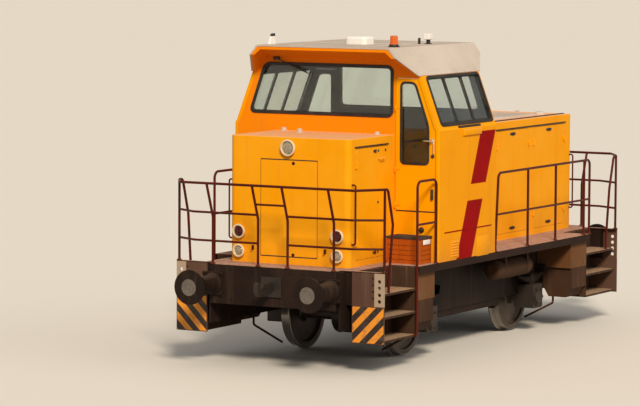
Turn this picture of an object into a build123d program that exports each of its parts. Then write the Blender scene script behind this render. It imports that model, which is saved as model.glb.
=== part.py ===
"""Two-axle diesel-hydraulic shunting locomotive with a cab between a short and a long hood.

Millimetres. +X points to the short hood end, +Y to the left side, +Z up.
The origin is the middle of the footprint; z = 0 is the plane under the wheel flanges.
"""
from build123d import *
import os

os.makedirs("parts", exist_ok=True)

# Rail, wheels and axles
flange_height = 28.0
rail = flange_height            # the wheel treads' lowest line
wheel_radius = 475.0
wheelbase = 3200.0
back_to_back = 1360.0
tyre_width = 135.0
axle_radius = 85.0
journal_radius = 65.0
journal_clearance = 0.08
axle_x = wheelbase / 2
spring_half_length = 410.0
spring_camber = 34.0
leaf_height = 18.0
axle_z = rail + wheel_radius
box_half_length = 150.0         # of the axle boxes, along X
box_top = axle_z + 185

# Underframe
half_width = 1550.0
side_plate_y = 950.0
side_plate_thickness = 30.0
corner_x = 3545.0               # outer face of the corner end plates
headstock_x = 3720.0            # face that the buffers stand on
headstock_half_width = 930.0
headstock_depth = 60.0
deck_z = rail + 1300.0
deck_plate = 12.0
deck_edge_depth = 100.0
side_plate_bottom = rail + 520.0
journal_end = side_plate_y + 250
tank_half_length = axle_x - wheel_radius - 205
end_plate_thickness = 12.0
wing_depth = 45.0               # headstock wings, from the corner plane back
upright_width = 145.0
recess_x0 = 2590.0              # ladder recess in the deck edge
recess_x1 = 3480.0
recess_y = side_plate_y + side_plate_thickness + 150
tread_heights = (rail + 420.0, rail + 720.0, rail + 1020.0)
board_top = rail + 860.0        # of the striped foot of the corner plates
bracket_foot = rail + 850.0

# Drive
gearbox_x = (-600.0, 380.0)
shaft_radius = 60.0
final_neck = 420.0
engine_x = (-2850.0, -1250.0)

# Buffers and draw gear
buffer_length = 620.0
buffer_spacing = 1750.0
buffer_height = rail + 1050.0
buffer_head_radius = 225.0
buffer_flat_radius = 110.0     # flat middle of the head
hook_bore = 28.0

# Hoods
hood_half_width = 890.0
hood_top = rail + 2955.0
hood_wall = 30.0
hood_corner = 75.0
hood_edge = 8.0
short_hood_x = 3290.0
long_hood_x = -3360.0
cover_y = hood_half_width - 465
cover_z = (rail + 1400, rail + 2665)
cover_seam = 5.0
grille_y = hood_half_width - 270
grille_z = (rail + 1560, rail + 2660)

# Hood doors
leaf_gap = 5.0
leaf_meeting_gap = 8.0
leaf_thickness = 25.0
leaf_bottom = rail + 1385.0
leaf_top = rail + 2830.0
knuckle_radius = 12.0
knuckle_length = 36.0
knuckle_gap = 0.4
hinge_heights = (leaf_bottom + 220, leaf_top - 220)
leaf_axis_y = hood_half_width + knuckle_radius + 2

# Openings in the hood sides: front edge, rear edge, width of the front leaf, what closes the rest
side_openings = {
    "short_hood": [(3110.0, 2270.0, 545.0, "panel")],
    "long_hood": [(-930.0, -1930.0, 500.0, "leaf"), (-2090.0, -3090.0, 500.0, "leaf")],
}

# Cab
cab_front = 2070.0
cab_rear = 400.0
cab_wall = 50.0
cab_corner = 25.0
belt_z = rail + 3020.0
panel_foot_y = half_width - 30
panel_foot_z = rail + 3065.0
eave_y = half_width - 280
eave_z = rail + 3730.0
break_y = half_width - 450
break_z = rail + 3970.0
roof_y = half_width - 550
roof_z = rail + 4100.0
roof_shell = 45.0
roof_sheet = 20.0                # of the visors, over their lining
lining_seat = 14.0               # how far the lining stands on the end wall
visor = 375.0                   # overhang of the roof past the front and rear walls
eave_overhang = 40.0
floor_z = rail + 1950.0
floor_plate = 40.0
cab_middle = (cab_front + cab_rear) / 2

# Cab walls: outline of the left side in Y and Z, outside and inside
outside = [(half_width, deck_z), (half_width, belt_z), (panel_foot_y, panel_foot_z), (eave_y, eave_z)]
inside = [(y - cab_wall, z) for y, z in outside]
gable = [(break_y - roof_shell, break_z - 10), (roof_y - roof_shell, roof_z - roof_shell)]

# Cab doors
door_hinge_y = hood_half_width + 15
door_gap = 5.0
door_free_gap = 8.0           # at the free edge, which swings past the side wall
door_thickness = 40.0
door_top = rail + 3700.0
door_hinges = (rail + 2030.0, rail + 2500.0, rail + 3300.0)
door_window_inner = door_hinge_y + 80
door_window_outer = half_width - 155
door_window_top = half_width - 360
door_window = [(door_window_inner, rail + 2580), (door_window_outer, rail + 2580),
               (door_window_outer, rail + 3090), (door_window_top, rail + 3645),
               (door_window_inner, rail + 3645)]
door_window_corner = min(60.0, 0.4 * (door_window_top - door_window_inner))

# Windscreen in Y and Z, and the side window with its bars
screen_door_side = door_hinge_y - 50
screen = [(screen_door_side, rail + 3190), (screen_door_side, rail + 3845),
          (480 - half_width, rail + 3845), (240 - half_width, rail + 3190)]
screen_corner = 75.0
side_window_x = (450.0, 1935.0)
side_window_z = (rail + 3085.0, rail + 3708.0)
side_window_corner = 50.0
side_window_bars = (950.0, 1440.0)
window_frame_width = 32.0

# Tubes
tube_radius = 17.0
rail_height = rail + 2360.0
knee_height = rail + 1970.0
toe_height = rail + 1600.0
rail_lean = 165.0               # of the end platform posts, from the knee up
rail_line = half_width - 20     # Y of the handrails at the sides
glass_thickness = 6.0
seat_gap = 0.3


def block(x, y, z):
    """Box between pairs of (low, high) coordinates."""
    size = [high - low for low, high in (x, y, z)]
    middle = [(high + low) / 2 for low, high in (x, y, z)]
    return Pos(*middle) * Box(*size)


def rod(start, end, radius):
    """Round bar between two points."""
    a = Vector(*start)
    b = Vector(*end)
    line = b - a
    return extrude(Plane(origin=a, z_dir=line) * Circle(radius), amount=line.length)


def tube(points, bend, radius=tube_radius):
    """Bent round bar along points, with rounded corners."""
    path = FilletPolyline(*points, radius=bend) if len(points) > 2 else Line(*points)
    return sweep(Plane(origin=path @ 0, z_dir=path % 0) * Circle(radius), path)


def fuse(pieces):
    """One solid from pieces that meet."""
    whole = pieces[0]
    for piece in pieces[1:]:
        whole = whole.fuse(piece)
    return whole.clean()


def prism_x(points, x):
    """Outline in Y and Z, extruded along X between two values."""
    face = make_face(Polyline(*[(x[0], y, z) for y, z in points], close=True))
    return extrude(face, amount=x[1] - x[0], dir=(1, 0, 0))


def prism_y(points, y):
    """Outline in X and Z, extruded along Y between two values."""
    face = make_face(Polyline(*[(px, y[0], z) for px, z in points], close=True))
    return extrude(face, amount=y[1] - y[0], dir=(0, 1, 0))


def turned(shape):
    """The same piece at the other end and the other side: half a turn about Z."""
    return Rot(0, 0, 180) * shape


def mirrored(shape):
    """The same piece on the other side."""
    return mirror(shape, about=Plane.XZ)


def four(shape):
    """The piece at the front left corner and its images at the other three corners."""
    pair = [shape, mirrored(shape)]
    return pair + [turned(p) for p in pair]


def save(name, pieces):
    """One STEP file for each node."""
    pieces = pieces if isinstance(pieces, list) else [pieces]
    solids = [s for p in pieces for s in p.solids()]
    shape = solids[0] if len(solids) == 1 else Compound(children=solids)
    export_step(shape, f"parts/{name}.step")


def wheelset(x):
    """Two wheels pressed on an axle, turned about Y."""
    inner = back_to_back / 2
    outer = inner + tyre_width
    hub = 115.0
    rim = wheel_radius - 65
    web = 14.0
    web_blend = 30.0
    web_y = (inner + outer) / 2
    section = [
        (0, 0), (axle_radius, 0), (axle_radius, inner - 20), (hub, inner - 20), (hub, web_y - web),
        (rim, web_y - web), (rim, inner), (wheel_radius + flange_height - 6, inner),
        (wheel_radius + flange_height, inner + 8), (wheel_radius + flange_height, inner + 20),
        (wheel_radius + 6, inner + 32), (wheel_radius, inner + 45), (wheel_radius - 4, outer),
        (rim, outer), (rim, web_y + web), (hub, web_y + web), (hub, outer + 25),
        (journal_radius + 8, outer + 25), (journal_radius + 8, side_plate_y + 20),
        (journal_radius, side_plate_y + 20), (journal_radius, journal_end), (0, journal_end),
    ]
    face = make_face(Polyline(*[(r, y, 0) for r, y in section], close=True))
    web_corners = [v for v in face.vertices()
                   if min(abs(v.X - hub), abs(v.X - rim)) < 1 and abs(abs(v.Y - web_y) - web) < 1]
    face = fillet(web_corners, web_blend)
    half = revolve(face, Axis.Y)
    both = half.fuse(mirrored(half)).clean()
    return Pos(x, 0, axle_z) * both


def axle_box(x):
    """Bearing box in its horn gap, bored for the journal, with a round cap outside."""
    face_y = side_plate_y + 270
    body_x = (x - box_half_length, x + box_half_length)
    body = block(body_x, (side_plate_y - 25, face_y), (axle_z - 150, box_top))
    body = fillet(body.edges().filter_by(Axis.Y), 25)
    collar = rod((x, face_y, axle_z), (x, face_y + 14, axle_z), 132)
    cap = rod((x, face_y + 14, axle_z), (x, face_y + 34, axle_z), 100)
    cap = chamfer(cap.edges().filter_by(GeomType.CIRCLE).sort_by(Axis.Y)[-1], 10)
    bore_radius = journal_radius + journal_clearance
    bore = rod((x, side_plate_y - 30, axle_z), (x, journal_end + 8, axle_z), bore_radius)
    shoulder = rod((x, side_plate_y - 30, axle_z), (x, side_plate_y + 24, axle_z), journal_radius + 14)
    return fuse([body, collar, cap]) - bore - shoulder


def leaf_arc(x, half_length, y, z):
    """Curve of a leaf's face, its ends raised by the camber."""
    rise = spring_camber * (half_length / spring_half_length) ** 2
    return ThreePointArc((x - half_length, y, z + rise), (x, y, z), (x + half_length, y, z + rise))


def arched_leaf(x, half_length, z, y):
    """One leaf of the spring, between its two curves."""
    low = leaf_arc(x, half_length, y[0], z)
    high = leaf_arc(x, half_length, y[0], z + leaf_height)
    edges = [low, Line(low @ 1, high @ 1), high, Line(high @ 0, low @ 0)]
    return extrude(make_face(edges), amount=y[1] - y[0], dir=(0, 1, 0))


def leaf_spring(x):
    """Leaves over the axle box, in a buckle, with their hangers on the frame plate."""
    y = (side_plate_y + 90, side_plate_y + 180)
    foot = box_top
    buckle = block((x - 55, x + 55), (y[0] - 12, y[1] + 12), (foot, foot + 130))
    pieces = [chamfer(buckle.edges().filter_by(Axis.Z), 8)]
    for row, half_length in enumerate((200, 270, 340, spring_half_length)):
        pieces.append(arched_leaf(x, half_length, foot + 30 + row * (leaf_height - 0.5), y))
    top = foot + 30 + 3 * leaf_height + spring_camber
    plate_face = side_plate_y + side_plate_thickness
    for side in (-1, 1):
        end = x + side * (spring_half_length - 15)
        pieces.append(block((end - 15, end + 15), (plate_face, y[1]), (top, top + 125)))
        pieces.append(rod((end, plate_face, top + 95), (end, y[1] + 14, top + 95), 26))
    return fuse(pieces)


# Wheels, axles, boxes and springs
for name, x in (("wheelset_front", axle_x), ("wheelset_rear", -axle_x)):
    save(name, wheelset(x))
boxes = [axle_box(axle_x), axle_box(-axle_x)]
save("axle_boxes", boxes + [mirrored(b) for b in boxes])
springs = [leaf_spring(axle_x), leaf_spring(-axle_x)]
save("leaf_springs", springs + [mirrored(s) for s in springs])


def main_frame():
    """Two side plates with horn gaps, and cross plates between them."""
    outer = side_plate_y + side_plate_thickness
    top = deck_z - deck_plate
    end = headstock_x - headstock_depth
    tank_end = tank_half_length + 80
    plate = block((-end, end), (side_plate_y, outer), (side_plate_bottom, top))
    for x in (axle_x, -axle_x):
        gap = box_half_length + seat_gap
        horn_z = (side_plate_bottom - 1, box_top)
        plate -= block((x - gap, x + gap), (side_plate_y - 1, outer + 1), horn_z)
    pieces = [plate, mirrored(plate)]
    for x in (3000, tank_end, -tank_end, -3000):
        pieces.append(block((x - 10, x + 10), (-side_plate_y, side_plate_y), (rail + 900, top)))
    for side in (-1, 1):
        end_x = sorted((side * end, side * (end - 20)))
        pieces.append(block(end_x, (-side_plate_y, side_plate_y), (rail + 800, top)))
    return fuse(pieces)


def headstock():
    """End beam: the forward centre part that carries the buffers, and the wings behind it."""
    top = deck_z - deck_plate
    centre_y = (-headstock_half_width, headstock_half_width)
    centre = block((headstock_x - headstock_depth, headstock_x), centre_y, (rail + 790, top))
    wing_x = (corner_x - wing_depth, corner_x - end_plate_thickness)
    wing_y = (side_plate_y + side_plate_thickness, half_width - 220)
    wing = block(wing_x, wing_y, (board_top, top))
    return centre, [wing, mirrored(wing)]


def deck():
    """Walkway plate with a turned-down edge, ladder recesses and a well for the drive."""
    top = block((-corner_x, corner_x), (-half_width, half_width), (deck_z - deck_plate, deck_z))
    nose = block((-headstock_x, headstock_x), (-headstock_half_width, headstock_half_width),
                 (deck_z - deck_plate, deck_z))
    pieces = [top, nose]
    edge = block((-recess_x0, recess_x0), (half_width - 8, half_width), (deck_z - deck_edge_depth, deck_z))
    pieces += [edge, mirrored(edge)]
    plate = fuse(pieces)
    recess = block((recess_x0, recess_x1), (recess_y, half_width + 1), (deck_z - 200, deck_z + 1))
    for cut in four(recess):
        plate -= cut
    plate -= block((-2980, 420), (-480, 480), (deck_z - 50, deck_z + 50))
    return plate


save("main_frame", main_frame())
centre, wings = headstock()
save("headstocks", [centre, turned(centre)] + wings + [turned(w) for w in wings])
save("deck", deck())


def end_plate():
    """Corner plate beside the ladder: striped foot, and holes along the outer edge above it."""
    x = (corner_x - end_plate_thickness, corner_x)
    plate = block(x, (recess_y - 50, half_width), (rail + 380, deck_z - deck_plate))
    hole_y = half_width - upright_width / 2
    for step in range(4):
        z = board_top + 70 + 85 * step
        plate -= rod((x[0] - 1, hole_y, z), (x[1] + 1, hole_y, z), 24)
    return plate


def corner_steps():
    """Three treads in the recess, on a back plate and a rear side plate."""
    wing_x = corner_x - wing_depth
    back = block((recess_x0, wing_x), (recess_y, recess_y + 10), (rail + 400, deck_z - deck_plate))
    y = (recess_y, half_width - 50)
    side = block((recess_x0, recess_x0 + 10), y, (rail + 400, deck_z - deck_plate))
    plate_x = corner_x - end_plate_thickness
    treads = []
    for height, x1 in zip(tread_heights, (plate_x, plate_x, wing_x)):
        treads.append(block((recess_x0, x1), y, (height - 30, height)))
    return fuse([back, side] + treads)


def jacking_bracket():
    """Box bracket under the deck edge, with a flat pad below for a jack."""
    x = (axle_x + spring_half_length + 65, recess_x0)
    y = (side_plate_y + side_plate_thickness, half_width - 50)
    return block(x, y, (bracket_foot, deck_z - deck_plate))


def sand_box():
    """Sand box under the bracket: hopper foot, and its pipe to the rail in front of the wheel."""
    x = (axle_x + spring_half_length + 105, recess_x0 - 15)
    y = (side_plate_y + 100, half_width - 50)
    low = rail + 430
    outline = [(y[0], low + 150), (y[0] + 90, low), (y[1] - 90, low), (y[1], low + 150),
               (y[1], bracket_foot), (y[0], bracket_foot)]
    box = prism_x(outline, x)
    rim = block((x[0] - 10, x[1] + 10), (y[1] - 8, y[1] + 6), (rail + 560, rail + 590))
    pipe_x = x[0] + 85
    tread_y = back_to_back / 2 + 80
    pipe_y = side_plate_y + 220
    pipe_line = [(pipe_x, pipe_y, low + 10), (pipe_x, pipe_y, rail + 330), (pipe_x - 70, tread_y, rail + 110)]
    pipe = tube(pipe_line, 40, 15)
    return fuse([box, rim, pipe])


save("end_plates", four(end_plate()))
save("corner_steps", four(corner_steps()))
save("jacking_brackets", four(jacking_bracket()))
save("sand_boxes", four(sand_box()))


def buffer():
    """Base plate, ribbed sleeve, plunger and round head, turned about the buffer's axis."""
    y = buffer_spacing / 2
    z = buffer_height
    base = block((headstock_x, headstock_x + 25), (y - 150, y + 150), (z - 150, z + 150))
    base = chamfer(base.edges().filter_by(Axis.X), 25)
    sleeve_end = 385.0
    head_back = buffer_length - 42
    profile = [
        (20, 0), (20, 138), (45, 138), (75, 118),
        (sleeve_end - 30, 112), (sleeve_end - 25, 124), (sleeve_end, 124), (sleeve_end, 88),
        (head_back - 70, 88), (head_back - 20, 125), (head_back, buffer_head_radius - 12),
        (head_back + 6, buffer_head_radius), (buffer_length - 16, buffer_head_radius),
        (buffer_length - 8, buffer_head_radius - 60), (buffer_length, buffer_flat_radius), (buffer_length, 0),
    ]
    outline = [(headstock_x + along, y, z + radius) for along, radius in profile]
    face = make_face(Polyline(*outline, close=True))
    body = revolve(face, Axis((headstock_x, y, z), (1, 0, 0)))
    return fuse([base, body])


def draw_hook():
    """Guide plate and hook, bored for the coupling pin."""
    z = buffer_height
    plate = block((headstock_x, headstock_x + 25), (-150, 150), (z - 130, z + 130))
    shank = block((headstock_x + 25, headstock_x + 200), (-32, 32), (z - 55, z + 55))
    outline = [(headstock_x + 180, z - 70), (headstock_x + 290, z - 100), (headstock_x + 370, z - 85),
               (headstock_x + 412, z - 30), (headstock_x + 412, z + 60), (headstock_x + 385, z + 95),
               (headstock_x + 345, z + 85), (headstock_x + 350, z + 20), (headstock_x + 320, z - 5),
               (headstock_x + 282, z + 15), (headstock_x + 262, z + 62), (headstock_x + 180, z + 62)]
    edge = FilletPolyline(*[(x, -32, z) for x, z in outline], radius=14, close=True)
    hook = extrude(make_face(edge), amount=64, dir=(0, 1, 0))
    hole = rod((headstock_x + 240, -40, z - 20), (headstock_x + 240, 40, z - 20), hook_bore)
    return fuse([plate, shank, hook]) - hole


buffers = [buffer(), mirrored(buffer())]
save("buffers", buffers + [turned(b) for b in buffers])
save("draw_hooks", [draw_hook(), turned(draw_hook())])


def brake_unit(x, side):
    """Beam across the track with a block against each wheel, hung from the frame."""
    reach = wheel_radius + 8
    start = x + side * reach
    y = back_to_back / 2 + 25
    shoe_x = sorted((start, start + side * 60))
    hanger_x = sorted((start + side * 60, start + side * 85))
    shoe = block(shoe_x, (y + 10, y + 95), (axle_z - 130, axle_z + 130))
    hanger = block(hanger_x, (y + 30, y + 75), (axle_z - 60, rail + 905))
    beam = block(hanger_x, (-y - 40, y + 40), (axle_z + 90, axle_z + 150))
    top = block(hanger_x, (-side_plate_y, side_plate_y), (rail + 900, rail + 960))
    return fuse([shoe, hanger, mirrored(shoe), mirrored(hanger), beam, top])


save("brake_gear", [brake_unit(axle_x, -1), brake_unit(-axle_x, 1)])


def air_reservoir():
    """Air tank with dished ends beside the frame plate, held by two bands."""
    y, z, radius = side_plate_y + 300, rail + 985.0, 135.0
    x = (-1150.0, -80.0)
    tank = rod((x[0], y, z), (x[1], y, z), radius)
    tank = fillet(tank.edges().filter_by(GeomType.CIRCLE), 70)
    pieces = [tank]
    for band_x in (x[0] + 200, x[1] - 200):
        pieces.append(rod((band_x - 22, y, z), (band_x + 22, y, z), radius + 5))
        band_z = (z + 60, deck_z - deck_plate)
        pieces.append(block((band_x - 22, band_x + 22), (y - radius + 10, y + radius - 10), band_z))
    pieces.append(rod(((x[0] + x[1]) / 2, y, z - radius - 25), ((x[0] + x[1]) / 2, y, z), 18))
    return fuse(pieces)


save("air_reservoirs", [air_reservoir(), mirrored(air_reservoir())])
tank = block((-tank_half_length, tank_half_length), (300, side_plate_y), (rail + 420, rail + 1150))
save("fuel_tanks", [tank, mirrored(tank)])


def final_drive(x, direction):
    """Gear case on the axle, bored clear of it, with its input neck and torque arm."""
    case = rod((x, -180, axle_z), (x, 180, axle_z), 240)
    neck = rod((x, 0, axle_z), (x + direction * final_neck, 0, axle_z), 120)
    arm_x = sorted((x + direction * 60, x + direction * 130))
    arm = block(arm_x, (-40, 40), (axle_z + 150, rail + 1030))
    cross = block(arm_x, (-side_plate_y, side_plate_y), (rail + 1020, rail + 1100))
    bore = rod((x, -200, axle_z), (x, 200, axle_z), axle_radius + journal_clearance)
    return fuse([case, neck, arm, cross]) - bore


def transmission():
    """Gear case under the cab, with a shaft to each axle and one from the engine."""
    case = block(gearbox_x, (-280, 280), (rail + 430, rail + 1700))
    front = rod((gearbox_x[1], 0, axle_z), (axle_x - final_neck, 0, axle_z), shaft_radius)
    rear = rod((gearbox_x[0], 0, axle_z), (-axle_x + final_neck, 0, axle_z), shaft_radius)
    input_shaft = rod((gearbox_x[0], 0, rail + 1500), (engine_x[1], 0, rail + 1500), shaft_radius)
    return fuse([case, front, rear, input_shaft])


save("final_drives", [final_drive(axle_x, -1), final_drive(-axle_x, 1)])
save("transmission", transmission())
engine = block(engine_x, (-450, 450), (deck_z - 150, rail + 2400))
engine_feet = [block((x - 60, x + 60), (-560, 560), (deck_z, deck_z + 60)) for x in (-2600, -1500)]
save("engine", fuse([engine] + engine_feet))


def rounded_shell(x, end):
    """Hood shell with rounded vertical corners at its free end, open below and at the cab."""
    low, high = sorted(x)
    outer = block((low, high), (-hood_half_width, hood_half_width), (deck_z, hood_top))
    free = [e for e in outer.edges().filter_by(Axis.Z) if abs(e.center().X - end) < 1]
    outer = fillet(free, hood_corner)
    far = abs(low) if end == high else abs(high)
    top = [e for e in outer.faces().sort_by(Axis.Z)[-1].edges() if abs(abs(e.center().X) - far) > 1]
    outer = fillet(top, hood_edge)
    inner_x = (low - 1, high - hood_wall) if end == high else (low + hood_wall, high + 1)
    inner = block(inner_x, (-hood_half_width + hood_wall, hood_half_width - hood_wall),
                  (deck_z - 1, hood_top - hood_wall))
    free = [e for e in inner.edges().filter_by(Axis.Z) if abs(e.center().X - end) < hood_wall + 2]
    inner = fillet(free, hood_corner - hood_wall)
    return outer - inner


def knuckle(x, z, side_x, level):
    """Half a lift-off hinge at the hood side: its barrel and the strap to side_x."""
    low = z if level > 0 else z - knuckle_length
    high = low + knuckle_length
    barrel = rod((x, leaf_axis_y, low), (x, leaf_axis_y, high), knuckle_radius)
    strap = block(sorted((x, x + side_x * 45)), (hood_half_width, hood_half_width + 8), (low, high))
    web = block(sorted((x, x + side_x * 12)), (hood_half_width, leaf_axis_y), (low, high))
    return fuse([barrel, strap, web])


def hood_leaf(hinge_x, toward, width):
    """Door leaf on the left side, hinged at hinge_x and reaching toward +1 or -1 along X."""
    x = sorted((hinge_x + toward * leaf_gap, hinge_x + toward * width))
    y = (hood_half_width - leaf_thickness, hood_half_width)
    pieces = [block(x, y, (leaf_bottom + leaf_gap, leaf_top - leaf_gap))]
    for z in hinge_heights:
        pieces.append(knuckle(hinge_x, z + knuckle_gap / 2, toward, 1))
    return fuse(pieces)


def lift_off_panel(rear_x, width):
    """Panel on the left side that lifts off: flush plate, lip behind the opening and grab handle."""
    inner = hood_half_width - hood_wall
    x = (rear_x + leaf_gap, rear_x + width)
    plate = block(x, (inner, hood_half_width), (leaf_bottom + leaf_gap, leaf_top - leaf_gap))
    lip = block((x[0] - 25, x[1] + 15), (inner - 8, inner), (leaf_bottom - 20, leaf_top + 20))
    grip_x = (x[0] + x[1]) / 2 + 40
    grip_z = leaf_top - 160
    grip = tube([(grip_x - 60, hood_half_width, grip_z), (grip_x - 60, hood_half_width + 40, grip_z),
                 (grip_x + 60, hood_half_width + 40, grip_z), (grip_x + 60, hood_half_width, grip_z)], 15, 8)
    return fuse([plate, lip, grip])


def hood_with_openings(shell, openings):
    """Cut the door openings on both sides and add the fixed halves of the hinges."""
    extra = []
    for front, rear, _, rest in openings:
        wall_y = (hood_half_width - hood_wall - 1, hood_half_width + 1)
        cut = block((rear, front), wall_y, (leaf_bottom, leaf_top))
        shell = shell - cut - mirrored(cut)
        for z in hinge_heights:
            extra.append(knuckle(front, z - knuckle_gap / 2, 1, -1))
            if rest == "leaf":
                extra.append(knuckle(rear, z - knuckle_gap / 2, -1, -1))
    return fuse([shell] + extra + [mirrored(e) for e in extra])


short_shell = rounded_shell((cab_front, short_hood_x), short_hood_x)
short_shell -= block((short_hood_x - 100, short_hood_x + 1), (-cover_y, cover_y), cover_z)
save("short_hood", hood_with_openings(short_shell, side_openings["short_hood"]))
cover = block((short_hood_x - hood_wall, short_hood_x), (-cover_y + cover_seam, cover_y - cover_seam),
              (cover_z[0] + cover_seam, cover_z[1] - cover_seam))
cover_lip = block((short_hood_x - hood_wall - 12, short_hood_x - hood_wall), (-cover_y - 25, cover_y + 25),
                  (cover_z[0] - 25, cover_z[1] + 25))
save("nose_cover", fuse([cover, cover_lip]))

long_shell = rounded_shell((long_hood_x, cab_rear), long_hood_x)
long_shell -= block((long_hood_x - 1, long_hood_x + 100), (-grille_y, grille_y), grille_z)
save("long_hood", hood_with_openings(long_shell, side_openings["long_hood"]))


def radiator_grille():
    """Frame with sloping slats over the radiator block in the end of the long hood."""
    x = (long_hood_x, long_hood_x + 40)
    frame = block(x, (-grille_y, grille_y), grille_z)
    inner_z = (grille_z[0] + 40, grille_z[1] - 40)
    frame -= block((x[0] - 1, x[1] + 1), (-grille_y + 40, grille_y - 40), inner_z)
    pieces = [frame]
    for row in range(16):
        z = grille_z[0] + 72 + row * 64
        slat = prism_y([(x[0] + 4, z - 18), (x[1] - 4, z + 14), (x[1] - 4, z + 20), (x[0] + 4, z - 12)],
                       (-grille_y + 30, grille_y - 30))
        pieces.append(slat)
    return fuse(pieces)


save("radiator_grille", radiator_grille())
core_x = (long_hood_x + 60, long_hood_x + 260)
core_y = (20 - grille_y, grille_y - 20)
core = block(core_x, core_y, (grille_z[0] - 20, grille_z[1] + 20))
core_feet = block(core_x, core_y, (deck_z, grille_z[0] - 20))
save("radiator", fuse([core, core_feet]))

for hood, openings in side_openings.items():
    for number, (front, rear, front_width, rest) in enumerate(openings, start=1):
        rear_width = front - rear - front_width - leaf_meeting_gap
        pair = {f"door_{number}_front": hood_leaf(front, -1, front_width)}
        if rest == "leaf":
            pair[f"door_{number}_rear"] = hood_leaf(rear, 1, rear_width)
        else:
            pair[f"panel_{number}"] = lift_off_panel(rear, rear_width)
        for place, leaf in pair.items():
            save(f"{hood}_{place}_left", leaf)
            save(f"{hood}_{place}_right", mirrored(leaf))


def rounded_prism_x(points, x, radius):
    """Outline in Y and Z with rounded corners, extruded along X."""
    edge = FilletPolyline(*[(x[0], y, z) for y, z in points], radius=radius, close=True)
    return extrude(make_face(edge), amount=x[1] - x[0], dir=(1, 0, 0))


def screen_outline(grow):
    """Windscreen outline in the front wall, grown outward by a margin."""
    a, b, c, d = screen
    return [(a[0] + grow, a[1] - grow), (b[0] + grow, b[1] + grow),
            (c[0] - grow, c[1] + grow), (d[0] - grow, d[1] - grow)]


def door_outline(shrink):
    """Outline of the door opening, made smaller by a margin on every side."""
    slope = (panel_foot_y - eave_y) / (eave_z - panel_foot_z)
    top_y = panel_foot_y - cab_wall - (door_top - shrink - panel_foot_z) * slope
    free = 0 if shrink == 0 else door_free_gap
    wall = half_width - cab_wall - free
    foot = panel_foot_y - cab_wall - free
    drop = 0 if shrink == 0 else 6
    return [(door_hinge_y + shrink, floor_z + shrink), (wall, floor_z + shrink),
            (wall, belt_z - drop), (foot, panel_foot_z - drop),
            (top_y - free, door_top - shrink), (door_hinge_y + shrink, door_top - shrink)]


def cab_end_wall():
    """Front wall between the side walls, with its windscreen and door openings."""
    right = [(-y, z) for y, z in inside + gable]
    outline = inside + gable + right[::-1]
    wall = prism_x(outline, (cab_front - cab_wall, cab_front))
    x = (cab_front - cab_wall - 1, cab_front + 1)
    wall -= rounded_prism_x(screen_outline(0), x, screen_corner)
    wall -= prism_x(door_outline(0), x)
    return wall


def cab_side_wall():
    """Left wall with its belt ledge, leaning upper panel and window opening."""
    outline = outside + inside[::-1]
    wall = prism_x(outline, (cab_rear, cab_front))
    ends = [e for e in wall.edges() if min(abs(e.center().X - cab_front), abs(e.center().X - cab_rear)) < 1]
    upright = [e for e in ends if e.center().Y > half_width - 1 and e.length > 500]
    wall = fillet(upright, cab_corner)
    return wall - window_cutter(window_corners(0), side_window_corner)


def window_corners(grow):
    """Corners of the side window in X and Z, grown by a margin."""
    x0, x1 = side_window_x
    z0, z1 = side_window_z
    return [(x0 - grow, z0 - grow), (x1 + grow, z0 - grow), (x1 + grow, z1 + grow), (x0 - grow, z1 + grow)]


def leaning_slab(start, thickness, z):
    """Slab parallel to the leaning panel, from a depth inside its outer face."""
    slope = (panel_foot_y - eave_y) / (eave_z - panel_foot_z)
    face = [(panel_foot_y - (height - panel_foot_z) * slope, height) for height in z]
    outer = [(y - start, height) for y, height in face]
    inner = [(y - start - thickness, height) for y, height in face]
    return outer + inner[::-1]


def window_cutter(corners, radius):
    """Prism along Y through the left side wall, from corners in X and Z."""
    edge = FilletPolyline(*[(x, 0, z) for x, z in corners], radius=radius, close=True)
    return Pos(0, 1000, 0) * extrude(make_face(edge), amount=800, dir=(0, 1, 0))


def pane_cutters(gap=0.0):
    """The three daylight openings inside the side window's frame, smaller by a gap for the panes."""
    bars = [side_window_x[0]] + list(side_window_bars) + [side_window_x[1]]
    z0 = side_window_z[0] + window_frame_width + gap
    z1 = side_window_z[1] - window_frame_width - gap
    inset = 22 + gap
    cutters = []
    for low, high in zip(bars, bars[1:]):
        corners = [(low + inset, z0), (high - inset, z0), (high - inset, z1), (low + inset, z1)]
        cutters.append(window_cutter(corners, 25))
    return cutters


def window_slab(depth, thickness):
    """Slab that leans with the upper panel and is larger than the window."""
    z = (side_window_z[0] - 60, side_window_z[1] + 60)
    return prism_x(leaning_slab(depth, thickness, z), (side_window_x[0] - 60, side_window_x[1] + 60))


def side_window_frame():
    """Frame and two bars of the side window, set in its opening."""
    frame = window_slab(8, 34) & window_cutter(window_corners(0), side_window_corner)
    for cutter in pane_cutters():
        frame -= cutter
    return frame


def side_glass():
    """Three panes inside the side window's frame."""
    slab = window_slab(20, glass_thickness)
    return [slab & cutter for cutter in pane_cutters(seat_gap)]


def other_end(shape):
    """The same piece at the cab's other end: half a turn about the cab's middle."""
    return Pos(cab_middle, 0, 0) * Rot(0, 0, 180) * Pos(-cab_middle, 0, 0) * shape


side_wall = cab_side_wall()
save("cab_side_left", side_wall)
save("cab_side_right", mirrored(side_wall))
window_frame = side_window_frame()
save("side_window_frames", [window_frame, mirrored(window_frame)])
pane_x = (cab_front - 30, cab_front - 30 + glass_thickness)
pane = rounded_prism_x(screen_outline(0), pane_x, screen_corner)
panes = side_glass()
save("cab_glass", [pane, other_end(pane)] + panes + [mirrored(p) for p in panes])


def roof_section(inset, x):
    """Solid under the roof's outline moved inward by an inset, down to the eaves."""
    left = [(eave_y - inset * cab_wall / roof_shell, eave_z),
            (break_y - inset, break_z - inset * 10 / roof_shell),
            (roof_y - inset, roof_z - inset)]
    return prism_x(left + [(-y, z) for y, z in left[::-1]], x)


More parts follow.
